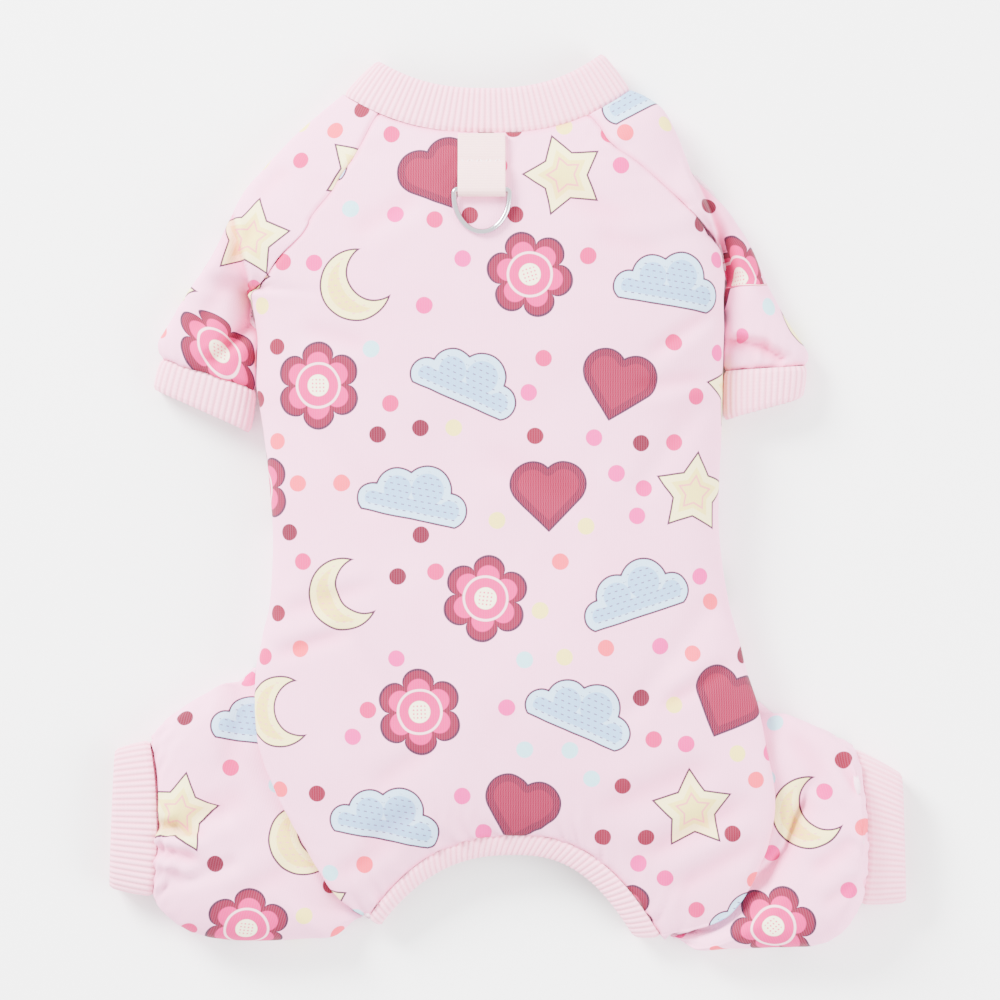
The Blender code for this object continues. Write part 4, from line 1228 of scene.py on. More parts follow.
@dataclass
class Strap:
    """The leash strap with its D-ring."""

    torso: Torso
    columns: int = 20
    round_points: int = 14
    stitch_y: float = 0.1421
    stitch_pitch: float = 0.0019
    stitch_radius: float = 0.00034
    stitch_sink: float = 0.0005
    layer_gap: float = 0.0006
    lift_power: float = 0.8
    length_points: int = 48
    stitched_share: float = 0.88
    stitch_reach: float = 0.62
    stitch_lean: float = math.radians(52)
    stitch_proud: float = 0.00005
    edge_bevel: float = 0.00035
    corner_points: int = 7
    bow_points: int = 44
    wire_steps: int = 6

    def layout(self) -> tuple[float, tuple[float, float], tuple[float, float]]:
        """Places of the strap's seam, the ring's bar axis and the far end of the bow, as (y, z) pairs."""
        seam_y = self.torso.section(0).mids[0][1] - SIZES.piece_gap
        bar_y = seam_y - SIZES.strap_length
        bow_y = bar_y - SIZES.ring_reach
        wire = SIZES.ring_wire / 2
        bar_z = self.torso.back_height(bar_y) + SIZES.piece_gap + SIZES.strap_thickness + SIZES.ring_clearance + wire
        bow_z = self.torso.back_height(bow_y) + SIZES.piece_gap + wire
        return seam_y, (bar_y, bar_z), (bow_y, bow_z)

    def profile(self) -> np.ndarray:
        """The strap's centre line, down its lower layer, round the bar and back along its upper layer."""
        seam_y, (bar_y, bar_z), _ = self.layout()
        radius = SIZES.ring_wire / 2 + SIZES.ring_clearance + SIZES.strap_thickness / 2
        layer = SIZES.strap_thickness + self.layer_gap
        stitched = (seam_y - self.stitch_y) / (seam_y - bar_y)
        lower = []
        upper = []
        for share in np.linspace(0, 1, self.length_points):
            y = seam_y + (bar_y - seam_y) * share
            low = self.torso.back_height(y) + SIZES.piece_gap + SIZES.strap_thickness / 2
            lower.append((y, low))
            lift = (max(share - stitched, 0) / (1 - stitched)) ** self.lift_power
            sunk = self.stitch_sink * math.exp(-(((y - self.stitch_y) / self.stitch_pitch) ** 2))
            upper.append((y, low + layer + (bar_z + radius - low - layer) * lift - sunk))
        turn = np.linspace(-math.pi / 2, math.pi / 2, self.round_points)[1:-1]
        bar = [(bar_y - radius * math.cos(a), bar_z + radius * math.sin(a)) for a in turn]
        return np.array(lower + bar + upper[::-1])

    def strap_object(self, offset: tuple[float, float]) -> bpy.types.Object:
        """The folded webbing, shaped from a grid primitive."""
        profile = self.profile()
        deselect_all()
        bpy.ops.mesh.primitive_grid_add(
            x_subdivisions=self.columns, y_subdivisions=len(profile) - 1, size=2.0, location=(0, 0, 0)
        )
        strap = bpy.context.active_object
        strap.name = "leash_webbing"
        mesh = strap.data
        middle = STRAP_X * SIZES.chest_width + offset[0]
        run = run_of(np.linalg.norm(np.diff(profile, axis=0), axis=1))
        layer = mesh.uv_layers.active
        layer.name = CLOTH_LAYER
        steps = np.arange(len(profile))
        spot = []
        for vert in mesh.vertices:
            at = (vert.co.y + 1) / 2 * steps[-1]
            y, z, down = (float(np.interp(at, steps, values)) for values in (*profile.T, run))
            side = vert.co.x / 2 * SIZES.strap_width
            spot.append((side, down))
            vert.co = (middle + side, y + offset[1], z)
        for loop in mesh.loops:
            layer.data[loop.index].uv = spot[loop.vertex_index]
        mesh.shade_smooth()
        shell = strap.modifiers.new("wall", "SOLIDIFY")
        shell.thickness = SIZES.strap_thickness
        shell.offset = 0.0
        soft = strap.modifiers.new("edge", "BEVEL")
        soft.width = self.edge_bevel
        soft.segments = 2
        soft.limit_method = "ANGLE"
        finish_modifiers(strap)
        return strap

    def stitch_object(self, offset: tuple[float, float]) -> bpy.types.Object:
        """A zigzag row of stitches across the strap, each a short thread shaped from a sphere."""
        profile = self.profile()
        top = profile[len(profile) // 2:]
        top = top[np.argsort(top[:, 0])]
        z = np.interp(self.stitch_y, top[:, 0], top[:, 1]) + SIZES.strap_thickness / 2 + self.stitch_proud
        row = SIZES.strap_width * self.stitched_share
        count = round(row / self.stitch_pitch)
        threads = []
        for step in range(count):
            x = STRAP_X * SIZES.chest_width + ((step + 0.5) / count - 0.5) * row + offset[0]
            deselect_all()
            bpy.ops.mesh.primitive_uv_sphere_add(
                segments=8, ring_count=6, radius=1.0, location=(x, self.stitch_y + offset[1], z)
            )
            thread = bpy.context.active_object
            thread.scale = (self.stitch_pitch * self.stitch_reach, self.stitch_radius, self.stitch_radius)
            thread.rotation_euler = (0, 0, self.stitch_lean if step % 2 else -self.stitch_lean)
            bpy.ops.object.transform_apply(location=True, rotation=True, scale=True)
            bpy.ops.object.shade_smooth()
            threads.append(thread)
        deselect_all()
        for thread in threads:
            thread.select_set(True)
        bpy.context.view_layer.objects.active = threads[0]
        bpy.ops.object.join()
        joined = bpy.context.active_object
        joined.name = "strap_stitches"
        return joined

    def ring_object(self, offset: tuple[float, float]) -> bpy.types.Object:
        """The D-ring's wire as a bevelled curve made a mesh, lying on the back."""
        _, (bar_y, bar_z), (bow_y, bow_z) = self.layout()
        half = (SIZES.ring_width - SIZES.ring_wire) / 2
        outline = [(0.0, 0.0)]
        for angle in np.linspace(math.pi / 2, 0, self.corner_points):
            outline.append(
                (half - SIZES.ring_corner * (1 - math.cos(angle)), -SIZES.ring_corner * (1 - math.sin(angle)))
            )
        deep = SIZES.ring_reach - SIZES.ring_straight
        for angle in np.linspace(0, math.pi, self.bow_points):
            outline.append((half * math.cos(angle), -SIZES.ring_straight - deep * math.sin(angle)))
        outline += [(-x, y) for x, y in outline[self.corner_points:0:-1]]
        tilt = -math.atan2(bow_z - bar_z, bar_y - bow_y)
        middle = STRAP_X * SIZES.chest_width + offset[0]
        deselect_all()
        bpy.ops.curve.primitive_bezier_circle_add(location=(0, 0, 0))
        ring = bpy.context.active_object
        ring.name = "plated_d_ring"
        curve = ring.data
        curve.splines.clear()
        spline = curve.splines.new("POLY")
        spline.points.add(len(outline) - 1)
        for slot, (x, y) in zip(spline.points, outline):
            slot.co = (middle + x, bar_y + offset[1] + y * math.cos(tilt), bar_z + y * math.sin(tilt), 1)
        spline.use_cyclic_u = True
        curve.bevel_depth = SIZES.ring_wire / 2
        curve.bevel_resolution = self.wire_steps
        make_active(ring)
        bpy.ops.object.convert(target="MESH")
        bpy.ops.object.shade_smooth()
        return bpy.context.active_object


@dataclass
class Graph:
    """A shader node tree that values are worked out in."""

    tree: bpy.types.NodeTree

    def feed(self, socket: bpy.types.NodeSocket, value: object) -> None:
        """Links a value to a socket, or sets the socket to it."""
        if isinstance(value, Field):
            self.tree.links.new(value.socket, socket)
        else:
            socket.default_value = value

    def math(self, operation: str, *values: object) -> "Field":
        """A Math node."""
        node = self.tree.nodes.new("ShaderNodeMath")
        node.operation = operation
        for socket, value in zip(node.inputs, values):
            self.feed(socket, value)
        return Field(self, node.outputs[0])

    def node(self, kind: str, inputs: dict | None = None, output: int | str = 0, **settings: object) -> "Field":
        """Any node, with some of its settings and inputs.

        Args:
            kind: the node's type.
            inputs: input names or numbers and their values.
            output: which output is wanted.
            **settings: the node's own settings.

        Returns:
            The wanted output.
        """
        made = self.tree.nodes.new(kind)
        for name, value in settings.items():
            setattr(made, name, value)
        for name, value in (inputs or {}).items():
            self.feed(made.inputs[name], value)
        return Field(self, made.outputs[output])

    def use(self, group: bpy.types.NodeTree, *values: object) -> list["Field"]:
        """A group's outputs, with its inputs fed in their order."""
        made = self.tree.nodes.new("ShaderNodeGroup")
        made.node_tree = group
        for socket, value in zip(made.inputs, values):
            self.feed(socket, value)
        return [Field(self, socket) for socket in made.outputs]

    def axes(self, place: "Field") -> tuple["Field", "Field"]:
        """A vector's X and Y."""
        parts = self.tree.nodes.new("ShaderNodeSeparateXYZ")
        self.feed(parts.inputs[0], place)
        return Field(self, parts.outputs[0]), Field(self, parts.outputs[1])

    def chances(self, column: "Field", row: "Field", draw: float) -> list["Field"]:
        """Four even random shares for a cell, others for each draw."""
        noise = self.tree.nodes.new("ShaderNodeTexWhiteNoise")
        self.feed(noise.inputs[0], self.node("ShaderNodeCombineXYZ", {0: column, 1: row, 2: draw}))
        parts = self.tree.nodes.new("ShaderNodeSeparateColor")
        self.tree.links.new(noise.outputs["Color"], parts.inputs[0])
        return [Field(self, socket) for socket in (*parts.outputs, noise.outputs["Value"])]

    def noise(self, place: "Field", scale: float, detail: float, **inputs: float) -> "Field":
        """Cloudy unevenness from 0 to 1."""
        return self.node("ShaderNodeTexNoise", {"Vector": place, "Scale": scale, "Detail": detail, **inputs})

    def mix(self, share: object, first: object, second: object, blend: str = "MIX") -> "Field":
        """A colour mix."""
        made = self.tree.nodes.new("ShaderNodeMix")
        made.data_type = "RGBA"
        made.blend_type = blend
        for socket, value in ((0, share), (6, first), (7, second)):
            self.feed(made.inputs[socket], value)
        return Field(self, made.outputs[2])

    def palette(self, share: "Field", colours: Sequence[tuple]) -> "Field":
        """A colour picked from a list by a share from 0 to 1."""
        ramp = self.tree.nodes.new("ShaderNodeValToRGB")
        ramp.color_ramp.interpolation = "CONSTANT"
        stops = ramp.color_ramp.elements
        while len(stops) < len(colours):
            stops.new(0.5)
        for index, colour in enumerate(colours):
            stops[index].position = index / len(colours)
            stops[index].color = colour
        self.feed(ramp.inputs[0], share)
        return Field(self, ramp.outputs[0])

    def give(self, *values: "Field") -> bpy.types.NodeTree:
        """Puts a group's values out in their order and returns the group."""
        leave = self.tree.nodes.new("NodeGroupOutput")
        for socket, value in zip(leave.inputs, values):
            self.feed(socket, value)
        return self.tree


@dataclass
class Field:
    """A value in a graph, which ordinary arithmetic works on."""

    graph: Graph
    socket: bpy.types.NodeSocket

    def __add__(self, other: object) -> "Field":
        """Sum."""
        return self.graph.math("ADD", self, other)

    def __sub__(self, other: object) -> "Field":
        """Difference."""
        return self.graph.math("SUBTRACT", self, other)

    def __rsub__(self, other: object) -> "Field":
        """Difference from a number."""
        return self.graph.math("SUBTRACT", other, self)

    def __mul__(self, other: object) -> "Field":
        """Product."""
        return self.graph.math("MULTIPLY", self, other)

    def __truediv__(self, other: object) -> "Field":
        """Quotient."""
        return self.graph.math("DIVIDE", self, other)

    def __neg__(self) -> "Field":
        """The value with its sign changed."""
        return self * -1.0

    def call(self, operation: str, *others: object) -> "Field":
        """Any Math operation on the value."""
        return self.graph.math(operation, self, *others)

    def wave(self) -> "Field":
        """A sine wave that repeats with each whole number."""
        return (self * FULL_TURN).call("SINE")

    def inside(self, soft: float) -> "Field":
        """A mask that is 1 where the distance is negative, soft at its edge."""
        return (self / -soft + 0.5).call("MINIMUM", 1.0).call("MAXIMUM", 0.0)


def length(x: Field, y: Field) -> Field:
    """The length of a flat vector."""
    return (x * x + y * y).call("SQRT")


def linear(red: float, green: float, blue: float) -> tuple[float, float, float, float]:
    """A colour given in 0 to 255, as a linear one with alpha."""
    values = []
    for part in (red, green, blue):
        share = part / 255
        values.append(share / 12.92 if share <= 0.04045 else ((share + 0.055) / 1.055) ** 2.4)
    return (*values, 1.0)


def new_group(name: str, inputs: dict[str, str], outputs: dict[str, str]) -> tuple[Graph, list[Field]]:
    """Starts a shader node group.

    Args:
        name: the group's name.
        inputs: kind of socket by name.
        outputs: the same.

    Returns:
        The graph and its inputs' values.
    """
    tree = bpy.data.node_groups.new(name, "ShaderNodeTree")
    for way, sockets in (("INPUT", inputs), ("OUTPUT", outputs)):
        for socket, kind in sockets.items():
            tree.interface.new_socket(socket, in_out=way, socket_type=kind)
    graph = Graph(tree)
    entry = tree.nodes.new("NodeGroupInput")
    return graph, [Field(graph, socket) for socket, _ in zip(entry.outputs, inputs)]


class Kind(Enum):
    """The print's motifs, in the order that they are picked."""

    HEART = 0
    FLOWER = 1
    STAR = 2
    CLOUD = 3
    MOON = 4

    def chosen(self, kind: Field) -> Field:
        """A mask that is 1 where the kind picked is this one."""
        return kind.call("COMPARE", float(self.value), 0.5)


@dataclass(frozen=True)
class Motifs:
    """The outlines of the motifs. Sizes are shares of the reach, but the cloud's are in millimetres."""

    reach: float = 17.0
    heart_size: float = 1.55
    heart_low: float = 0.56
    heart_lobe: tuple[float, float, float] = (0.25, 0.75, 0.35355)
    petals: int = 6
    petal_power: float = 0.55
    petal_depth: float = 0.34
    petal_root: float = 0.72
    petal_slope: float = 0.8
    star_points: int = 5
    star_reach: float = 1.02
    star_waist: float = 0.56
    cloud_lobes: tuple = ((-16.0, -4.0, 6.6), (-6.5, 1.8, 9.0), (6.0, 4.0, 10.0), (16.5, -3.0, 7.4))
    cloud_half: float = 16.0
    cloud_low: float = 3.6
    cloud_base: float = 5.8
    cloud_cut: float = 9.4
    cloud_blend: float = 0.8
    moon_radius: float = 0.88
    bite: tuple[float, float, float] = (0.52, 0.22, 0.70)

    def group(self) -> bpy.types.NodeTree:
        """Distance to a motif's outline, in millimetres, negative inside it."""
        graph, (x, y, kind) = new_group("motif_shapes", {"X": FLOAT, "Y": FLOAT, "Kind": FLOAT}, {"Distance": FLOAT})
        outlines = {
            Kind.HEART: self.heart, Kind.FLOWER: self.flower, Kind.STAR: self.star, Kind.CLOUD: self.cloud,
            Kind.MOON: self.moon,
        }
        parts = [outline(x, y) * which.chosen(kind) for which, outline in outlines.items()]
        return graph.give(sum(parts[1:], parts[0]))

    def heart(self, x: Field, y: Field) -> Field:
        """A plump heart, the distance to its lobes above and to its point below."""
        size = self.reach * self.heart_size
        side = x.call("ABSOLUTE") / size
        up = y / size + self.heart_low
        middle, height, radius = self.heart_lobe
        lobe = length(side - middle, up - height) - radius
        total = side + up
        lean = total.call("MAXIMUM", 0.0) * 0.5
        edge = length(side - lean, up - lean)
        low = length(side, up - 1.0).call("MINIMUM", edge) * (side - up).call("SIGN")
        high = total.call("GREATER_THAN", 1.0)
        return (lobe * high + low * (1.0 - high)) * size

    def flower(self, x: Field, y: Field) -> Field:
        """Round petals."""
        petal = (x.call("ARCTAN2", y) * (self.petals / 2)).call("COSINE").call("ABSOLUTE")
        petal = petal.call("POWER", self.petal_power) * (self.reach * self.petal_depth)
        return (length(x, y) - (petal + self.reach * self.petal_root)) * self.petal_slope

    def star(self, x: Field, y: Field) -> Field:
        """A star, as the distance to the straight edge of its nearest point."""
        away = length(x, y)
        part = FULL_TURN / self.star_points
        swing = ((x.call("ARCTAN2", y) / part + 0.5).call("FRACT") - 0.5).call("ABSOLUTE") * part
        tip = self.reach * self.star_reach
        inner = tip * self.star_waist
        edge = np.array([inner * math.cos(part / 2) - tip, inner * math.sin(part / 2)])
        normal = np.array([edge[1], -edge[0]]) / np.linalg.norm(edge)
        across = away * swing.call("COSINE") - tip
        return across * float(normal[0]) + away * swing.call("SINE") * float(normal[1])

    def cloud(self, x: Field, y: Field) -> Field:
        """Round lobes on a flat base."""
        lobes = [length(x - middle, y - height) - radius for middle, height, radius in self.cloud_lobes]
        along = x - x.call("MAXIMUM", -self.cloud_half).call("MINIMUM", self.cloud_half)
        total = lobes[0]
        for lobe in (*lobes[1:], length(along, y + self.cloud_low) - self.cloud_base):
            total = total.call("SMOOTH_MIN", lobe, self.cloud_blend)
        return total.call("MAXIMUM", -(y + self.cloud_cut))

    def moon(self, x: Field, y: Field) -> Field:
        """A crescent, a disc less another."""
        right, up, radius = (self.reach * share for share in self.bite)
        bite = length(x - right, y - up) - radius
        return (length(x, y) - self.reach * self.moon_radius).call("MAXIMUM", -bite)


@dataclass(frozen=True)
class Print:
    """The jersey's print: hearts, flowers, stars, clouds and moons with thin outlines, among polka dots.

    Sizes are in millimetres.
    """

    cell_width: float = 64.0
    cell_height: float = 45.0
    row_slide: float = 7.0
    motif_draw: float = 3.7
    lean: float = 0.9
    jitter: tuple[float, float] = (13.0, 5.0)
    outline: float = 0.80
    wobble: float = 0.6
    edge: float = 0.3
    soft_edge: float = 0.4
    rim: float = 3.2
    hatch_pitch: float = 1.15
    hatch_wave: tuple[float, float] = (2.3, 0.25)
    hatch_gap: float = 0.62
    flower_middle: float = 4.6
    seed_pitch: float = 0.62
    seed_radius: float = 0.24
    seeds_reach: float = 3.6
    ring_radius: float = 9.2
    ring_half: float = 0.5
    dash_pitch: tuple[float, float] = (3.0, 2.6)
    dash_slide: float = 0.37
    dash_size: tuple[float, float] = (0.42, 0.09)
    dash_depth: float = 2.4
    star_line: tuple[float, float] = (5.2, 0.35)
    dot_pitch: float = 18.5
    dot_radius: float = 3.55
    dot_room: float = 0.8
    dot_margin: float = 1.2
    dots_missing: float = 0.16
    dot_draw: float = 9.1
    ink: tuple = linear(44, 14, 36)
    fills: tuple = (
        linear(108, 0, 38), linear(204, 2, 108), linear(228, 214, 118), linear(128, 172, 210), linear(228, 206, 106),
    )
    rims: tuple = (
        linear(70, 0, 26), linear(106, 0, 38), linear(240, 230, 162), linear(166, 200, 226), linear(238, 226, 150),
    )
    dots: tuple = (
        linear(212, 8, 122), linear(108, 0, 32), linear(228, 58, 84), linear(234, 216, 112), linear(198, 2, 98),
        linear(154, 208, 220), linear(217, 24, 134), linear(90, 0, 26),
    )

    def layout_group(self) -> bpy.types.NodeTree:
        """Which motif is near a place, how far its outline is and where the place lies on it."""
        graph, (x, y) = new_group(
            "motif_layout",
            {"X": FLOAT, "Y": FLOAT},
            {"Distance": FLOAT, "Kind": FLOAT, "Local X": FLOAT, "Local Y": FLOAT},
        )
        row = (y / self.cell_height).call("FLOOR")
        shifted = x + ((row * 0.5).call("FRACT") * self.cell_width + row * self.row_slide)
        column = (shifted / self.cell_width).call("FLOOR")
        draws = [draw - 0.5 for draw in graph.chances(column, row, self.motif_draw)[:3]]
        lean = draws[0] * self.lean
        local_x, local_y = (
            (along / size).call("FRACT") * size - size / 2 - draw * jitter
            for along, size, draw, jitter in zip(
                (shifted, y), (self.cell_width, self.cell_height), draws[1:], self.jitter
            )
        )
        turned_x = local_x * lean.call("COSINE") + local_y * lean.call("SINE")
        turned_y = local_y * lean.call("COSINE") - local_x * lean.call("SINE")
        kind = (column * 2.0 + row * 3.0 + (row / 3.0).call("FLOOR")).call("FLOORED_MODULO", float(len(Kind)))
        (distance,) = graph.use(Motifs().group(), turned_x, turned_y, kind)
        return graph.give(distance, kind, turned_x, turned_y)

    def build(self) -> bpy.types.NodeTree:
        """The whole print, as a group that lays it over the cloth's own colour."""
        layout = self.layout_group()
        graph, (cloth, place) = new_group("suit_print", {"Cloth": COLOR, "Place": VECTOR}, {"Color": COLOR})
        wobble = (graph.noise(place, 90.0, 1.0) - 0.5) * self.wobble
        x, y = (axis * 1000.0 + wobble for axis in graph.axes(place))
        colour = self.dots_over(graph, layout, cloth, x, y)
        distance, kind, local_x, local_y = graph.use(layout, x, y)
        fill = self.filled(graph, distance, kind, local_x, local_y)
        colour = graph.mix(distance.inside(self.edge), colour, fill)
        ink = (distance.call("ABSOLUTE") - self.outline / 2).inside(self.edge)
        return graph.give(graph.mix(ink, colour, self.ink))

    def filled(self, graph: Graph, distance: Field, kind: Field, x: Field, y: Field) -> Field:
        """A motif's inside: its fill, its rim and its small marks."""
        share = (kind + 0.5) / float(len(Kind))
        away = length(x, y)
        often, high = self.hatch_wave
        hatch = (x * self.hatch_pitch + (y * often).call("SINE") * high).call("FRACT")
        seed_x, seed_y = ((axis * self.seed_pitch).call("FRACT") - 0.5 for axis in (x, y))
        seeds = (length(seed_x, seed_y) - self.seed_radius).inside(0.1)
        wide, tall = self.dash_pitch
        row = (y / tall).call("FLOOR")
        dashes = (x / wide + row * self.dash_slide).call("FRACT").call("LESS_THAN", self.dash_size[0])
        dashes = dashes * ((y / tall).call("FRACT") - 0.5).call("ABSOLUTE").call("LESS_THAN", self.dash_size[1])
        dashes = dashes * (distance + self.dash_depth).inside(self.soft_edge)
        depth, half = self.star_line
        marks = (
            (Kind.HEART, hatch.call("GREATER_THAN", self.hatch_gap), 0.55, linear(150, 0, 56)),
            (Kind.FLOWER, (away - self.flower_middle).inside(self.soft_edge), 1.0, linear(246, 240, 205)),
            (Kind.FLOWER, seeds * (away - self.seeds_reach).inside(self.soft_edge), 1.0, linear(222, 60, 110)),
            (
                Kind.FLOWER, ((away - self.ring_radius).call("ABSOLUTE") - self.ring_half).inside(self.edge), 0.8,
                linear(255, 214, 222),
            ),
            (Kind.CLOUD, dashes, 1.0, linear(96, 84, 116)),
            (Kind.STAR, ((distance + depth).call("ABSOLUTE") - half).inside(self.edge), 0.8, linear(232, 96, 140)),
            (Kind.MOON, dashes, 0.8, linear(236, 130, 158)),
        )
        body = graph.mix(
            (distance + self.rim).inside(self.soft_edge), graph.palette(share, self.rims),
            graph.palette(share, self.fills),
        )
        for which, mark, strength, colour in marks:
            body = graph.mix(mark * which.chosen(kind) * strength, body, colour)
        return body

    def dots_over(self, graph: Graph, layout: bpy.types.NodeTree, cloth: Field, x: Field, y: Field) -> Field:
        """Polka dots wherever no motif is near."""
        pitch = self.dot_pitch
        row = (y / pitch).call("FLOOR")
        slide = (row * 0.5).call("FRACT") * pitch
        column = ((x + slide) / pitch).call("FLOOR")
        draw_x, draw_y, draw_dot, draw_colour = graph.chances(column, row, self.dot_draw)
        room = (pitch - 2 * self.dot_radius) * self.dot_room
        centre_x = (column + 0.5) * pitch + (draw_x - 0.5) * room - slide
        centre_y = (row + 0.5) * pitch + (draw_y - 0.5) * room
        near = graph.use(layout, centre_x, centre_y)[0]
        disc = (length(x - centre_x, y - centre_y) - self.dot_radius).inside(self.edge)
        disc = disc * near.call("GREATER_THAN", self.dot_radius + self.dot_margin)
        disc = disc * draw_dot.call("GREATER_THAN", self.dots_missing)
        return graph.mix(disc, cloth, graph.palette(draw_colour, self.dots))


@dataclass(frozen=True)
class Knit:
    """Fine knit loops as a relief."""

    courses: float = 1.35
    lean: float = 1.6
    wale_share: float = 0.6

    def group(self) -> bpy.types.NodeTree:
        """A height from 0 to 1, with inputs for the cloth's coordinates and the loops in a metre."""
        graph, (place, dense) = new_group(
            "knit_loops", {"Place": VECTOR, "Loops per metre": FLOAT}, {"Height": FLOAT}
        )
        x, y = (axis * dense for axis in graph.axes(place))
        wale = (x * math.pi).call("SINE").call("ABSOLUTE")
        lean = (x.call("FRACT") - 0.5).call("ABSOLUTE") * self.lean
        course = (y * self.courses + lean).wave() * 0.5 + 0.5
        return graph.give(wale * self.wale_share + course * wale * (1 - self.wale_share))


class Surface(Graph):
    """The graph of a material and its shader."""

    def __init__(self, name: str) -> None:
        """Starts a new material."""
        self.material = bpy.data.materials.new(name)
        self.material.use_nodes = True
        super().__init__(self.material.node_tree)

    def cloth_place(self) -> Field:
        """The piece's own cloth coordinates."""
        return self.node("ShaderNodeUVMap", uv_map=CLOTH_LAYER)

    def body_place(self) -> Field:
        """The piece's own coordinates in space."""
        return self.node("ShaderNodeTexCoord", output="Object")

    def coat(
        self, colour: Field, rough: object, relief: tuple[Field, float, float] | None = None, **levels: float
    ) -> bpy.types.Material:
        """Feeds the shader.

        Args:
            colour: the colour.
            rough: the roughness.
            relief: a height, its strength and its depth in metres.
            **levels: steady inputs of the shader, by their names in SHADER_LEVELS.

        Returns:
            The material.
        """
        shader = self.tree.nodes["Principled BSDF"]
        self.feed(shader.inputs["Base Color"], colour)
        self.feed(shader.inputs["Roughness"], rough)
        if relief:
            height, strength, depth = relief
            bump = self.node("ShaderNodeBump", {"Height": height, "Strength": strength, "Distance": depth})
            self.feed(shader.inputs["Normal"], bump)
        for name, level in levels.items():
            shader.inputs[SHADER_LEVELS[name]].default_value = level
        return self.material


@dataclass(frozen=True)
class JerseyFinish:
    """Soft printed cotton jersey."""

    cloth: tuple = linear(250, 174, 211)
    shade: tuple = linear(246, 160, 200)
    # Painted shade: the colour that folds and seams are multiplied by
    fold: tuple = linear(240, 150, 190)
    # Painted shade between the knit loops
    loop_shade_tone: tuple = linear(214, 150, 184)
    loop_shade_share: float = 0.10
    loops_per_metre: float = 950.0
    shade_from: float = 0.35
    shade_gain: float = 1.6
    fold_shade_share: float = 0.8

    def material(self, printed: bpy.types.NodeTree, knit: bpy.types.NodeTree) -> bpy.types.Material:
        """The material, with the print laid over slightly uneven cloth, painted shade between the knit loops and deeper
        painted shade in folds and along seams.
        """
        surface = Surface("printed_jersey")
        place = surface.cloth_place()
        uneven = surface.noise(place, 26.0, 5.0, Roughness=0.6)
        cloth = surface.mix((uneven - self.shade_from) * self.shade_gain, self.cloth, self.shade)
        (colour,) = surface.use(printed, cloth, place)
        (height,) = surface.use(knit, place, self.loops_per_metre)
        # Painted shade between the knit loops, where the relief is low
        colour = surface.mix((1.0 - height) * self.loop_shade_share, colour, self.loop_shade_tone)
        # Painted shade in folds and along seams, read from the attribute
        fold = surface.node("ShaderNodeAttribute", output="Fac", attribute_name=PAINTED_SHADE_LAYER)
        colour = surface.mix(fold.call("MINIMUM", 1.0) * self.fold_shade_share, colour, self.fold, "MULTIPLY")
        relief = (height + uneven * 1.5, 0.28, 0.00022)
        return surface.coat(colour, uneven * 0.12 + 0.73, relief, sheen=0.10, sheen_roughness=0.45, specular=0.12)


@dataclass(frozen=True)
class WrongSideFinish:
    """The jersey's unprinted inner side, with coarser loops and shade painted between them."""

    cloth: tuple = linear(248, 206, 224)
    # Painted shade between the knit loops
    loop_shade_tone: tuple = linear(226, 172, 198)
    loops_per_metre: float = 700.0

    def material(self, knit: bpy.types.NodeTree) -> bpy.types.Material:
        """The material."""
        surface = Surface("jersey_wrong_side")
        place = surface.cloth_place()
        (height,) = surface.use(knit, place, self.loops_per_metre)
        uneven = surface.noise(place, 40.0, 4.0)
        # Painted shade between the loops, where the relief is low
        colour = surface.mix((1.0 - height) * 0.5, self.cloth, self.loop_shade_tone)
        return surface.coat(colour, uneven * 0.1 + 0.82, (height, 0.4, 0.0003), specular=0.12)


@dataclass(frozen=True)
class RibFinish:
    """Ribbed knit, paler on its ridges than in its grooves, where shade is painted."""

    # The ridges' colour, then painted shade: the colour that the grooves are darkened towards
    ridge: tuple = linear(252, 182, 206)
    groove: tuple = linear(240, 150, 180)
    groove_power: float = 1.6
    stitches_per_metre: float = 620.0
    stitch_sway: float = 0.12

    def material(self) -> bpy.types.Material:
        """The material, whose painted groove shade follows the piece's own ribs."""
        surface = Surface("ribbed_knit")
        place = surface.cloth_place()
        across, down = surface.axes(place)
        valley = (across * FULL_TURN).call("COSINE") * -0.5 + 0.5
        sway = (across * (2 * FULL_TURN)).call("SINE") * self.stitch_sway
        stitch = (down * self.stitches_per_metre + sway).wave()
        uneven = surface.noise(place, 3.0, 4.0)
        # Painted shade in the grooves, with a faint stitch pattern and random unevenness
        share = valley.call("POWER", self.groove_power) * 0.75 + stitch * 0.05 + (uneven - 0.5) * 0.18
        colour = surface.mix(share.call("MAXIMUM", 0.0), self.ridge, self.groove)
        height = stitch * 0.35 + (1.0 - valley) * 0.6 + uneven * 0.3
        return surface.coat(colour, uneven * 0.1 + 0.78, (height, 0.35, 0.00025), sheen=0.25, specular=0.25)


@dataclass(frozen=True)
class WebbingFinish:
    """Smooth flat webbing with fine lengthwise cords, and shade painted between them."""

    cord: tuple = linear(247, 198, 196)
    # Painted shade between the cords
    gap_shade: tuple = linear(226, 168, 172)
    cords_per_metre: float = 900.0

    def material(self) -> bpy.types.Material:
        """The material."""
        surface = Surface("flat_webbing")
        place = surface.cloth_place()
        across, down = (axis * self.cords_per_metre for axis in surface.axes(place))
        weave = down.wave() * across.wave()
        cords = (down * math.pi).call("SINE").call("ABSOLUTE")
        uneven = surface.noise(place, 160.0, 3.0)
        # Painted shade between the cords, with a faint weave pattern and random unevenness
        share = (1.0 - cords) * 0.5 + (uneven - 0.5) * 0.3 + weave * 0.08
        colour = surface.mix(share.call("MAXIMUM", 0.0), self.cord, self.gap_shade)
        return surface.coat(colour, uneven * 0.15 + 0.45, (cords + weave * 0.5, 0.3, 0.0002), sheen=0.15)


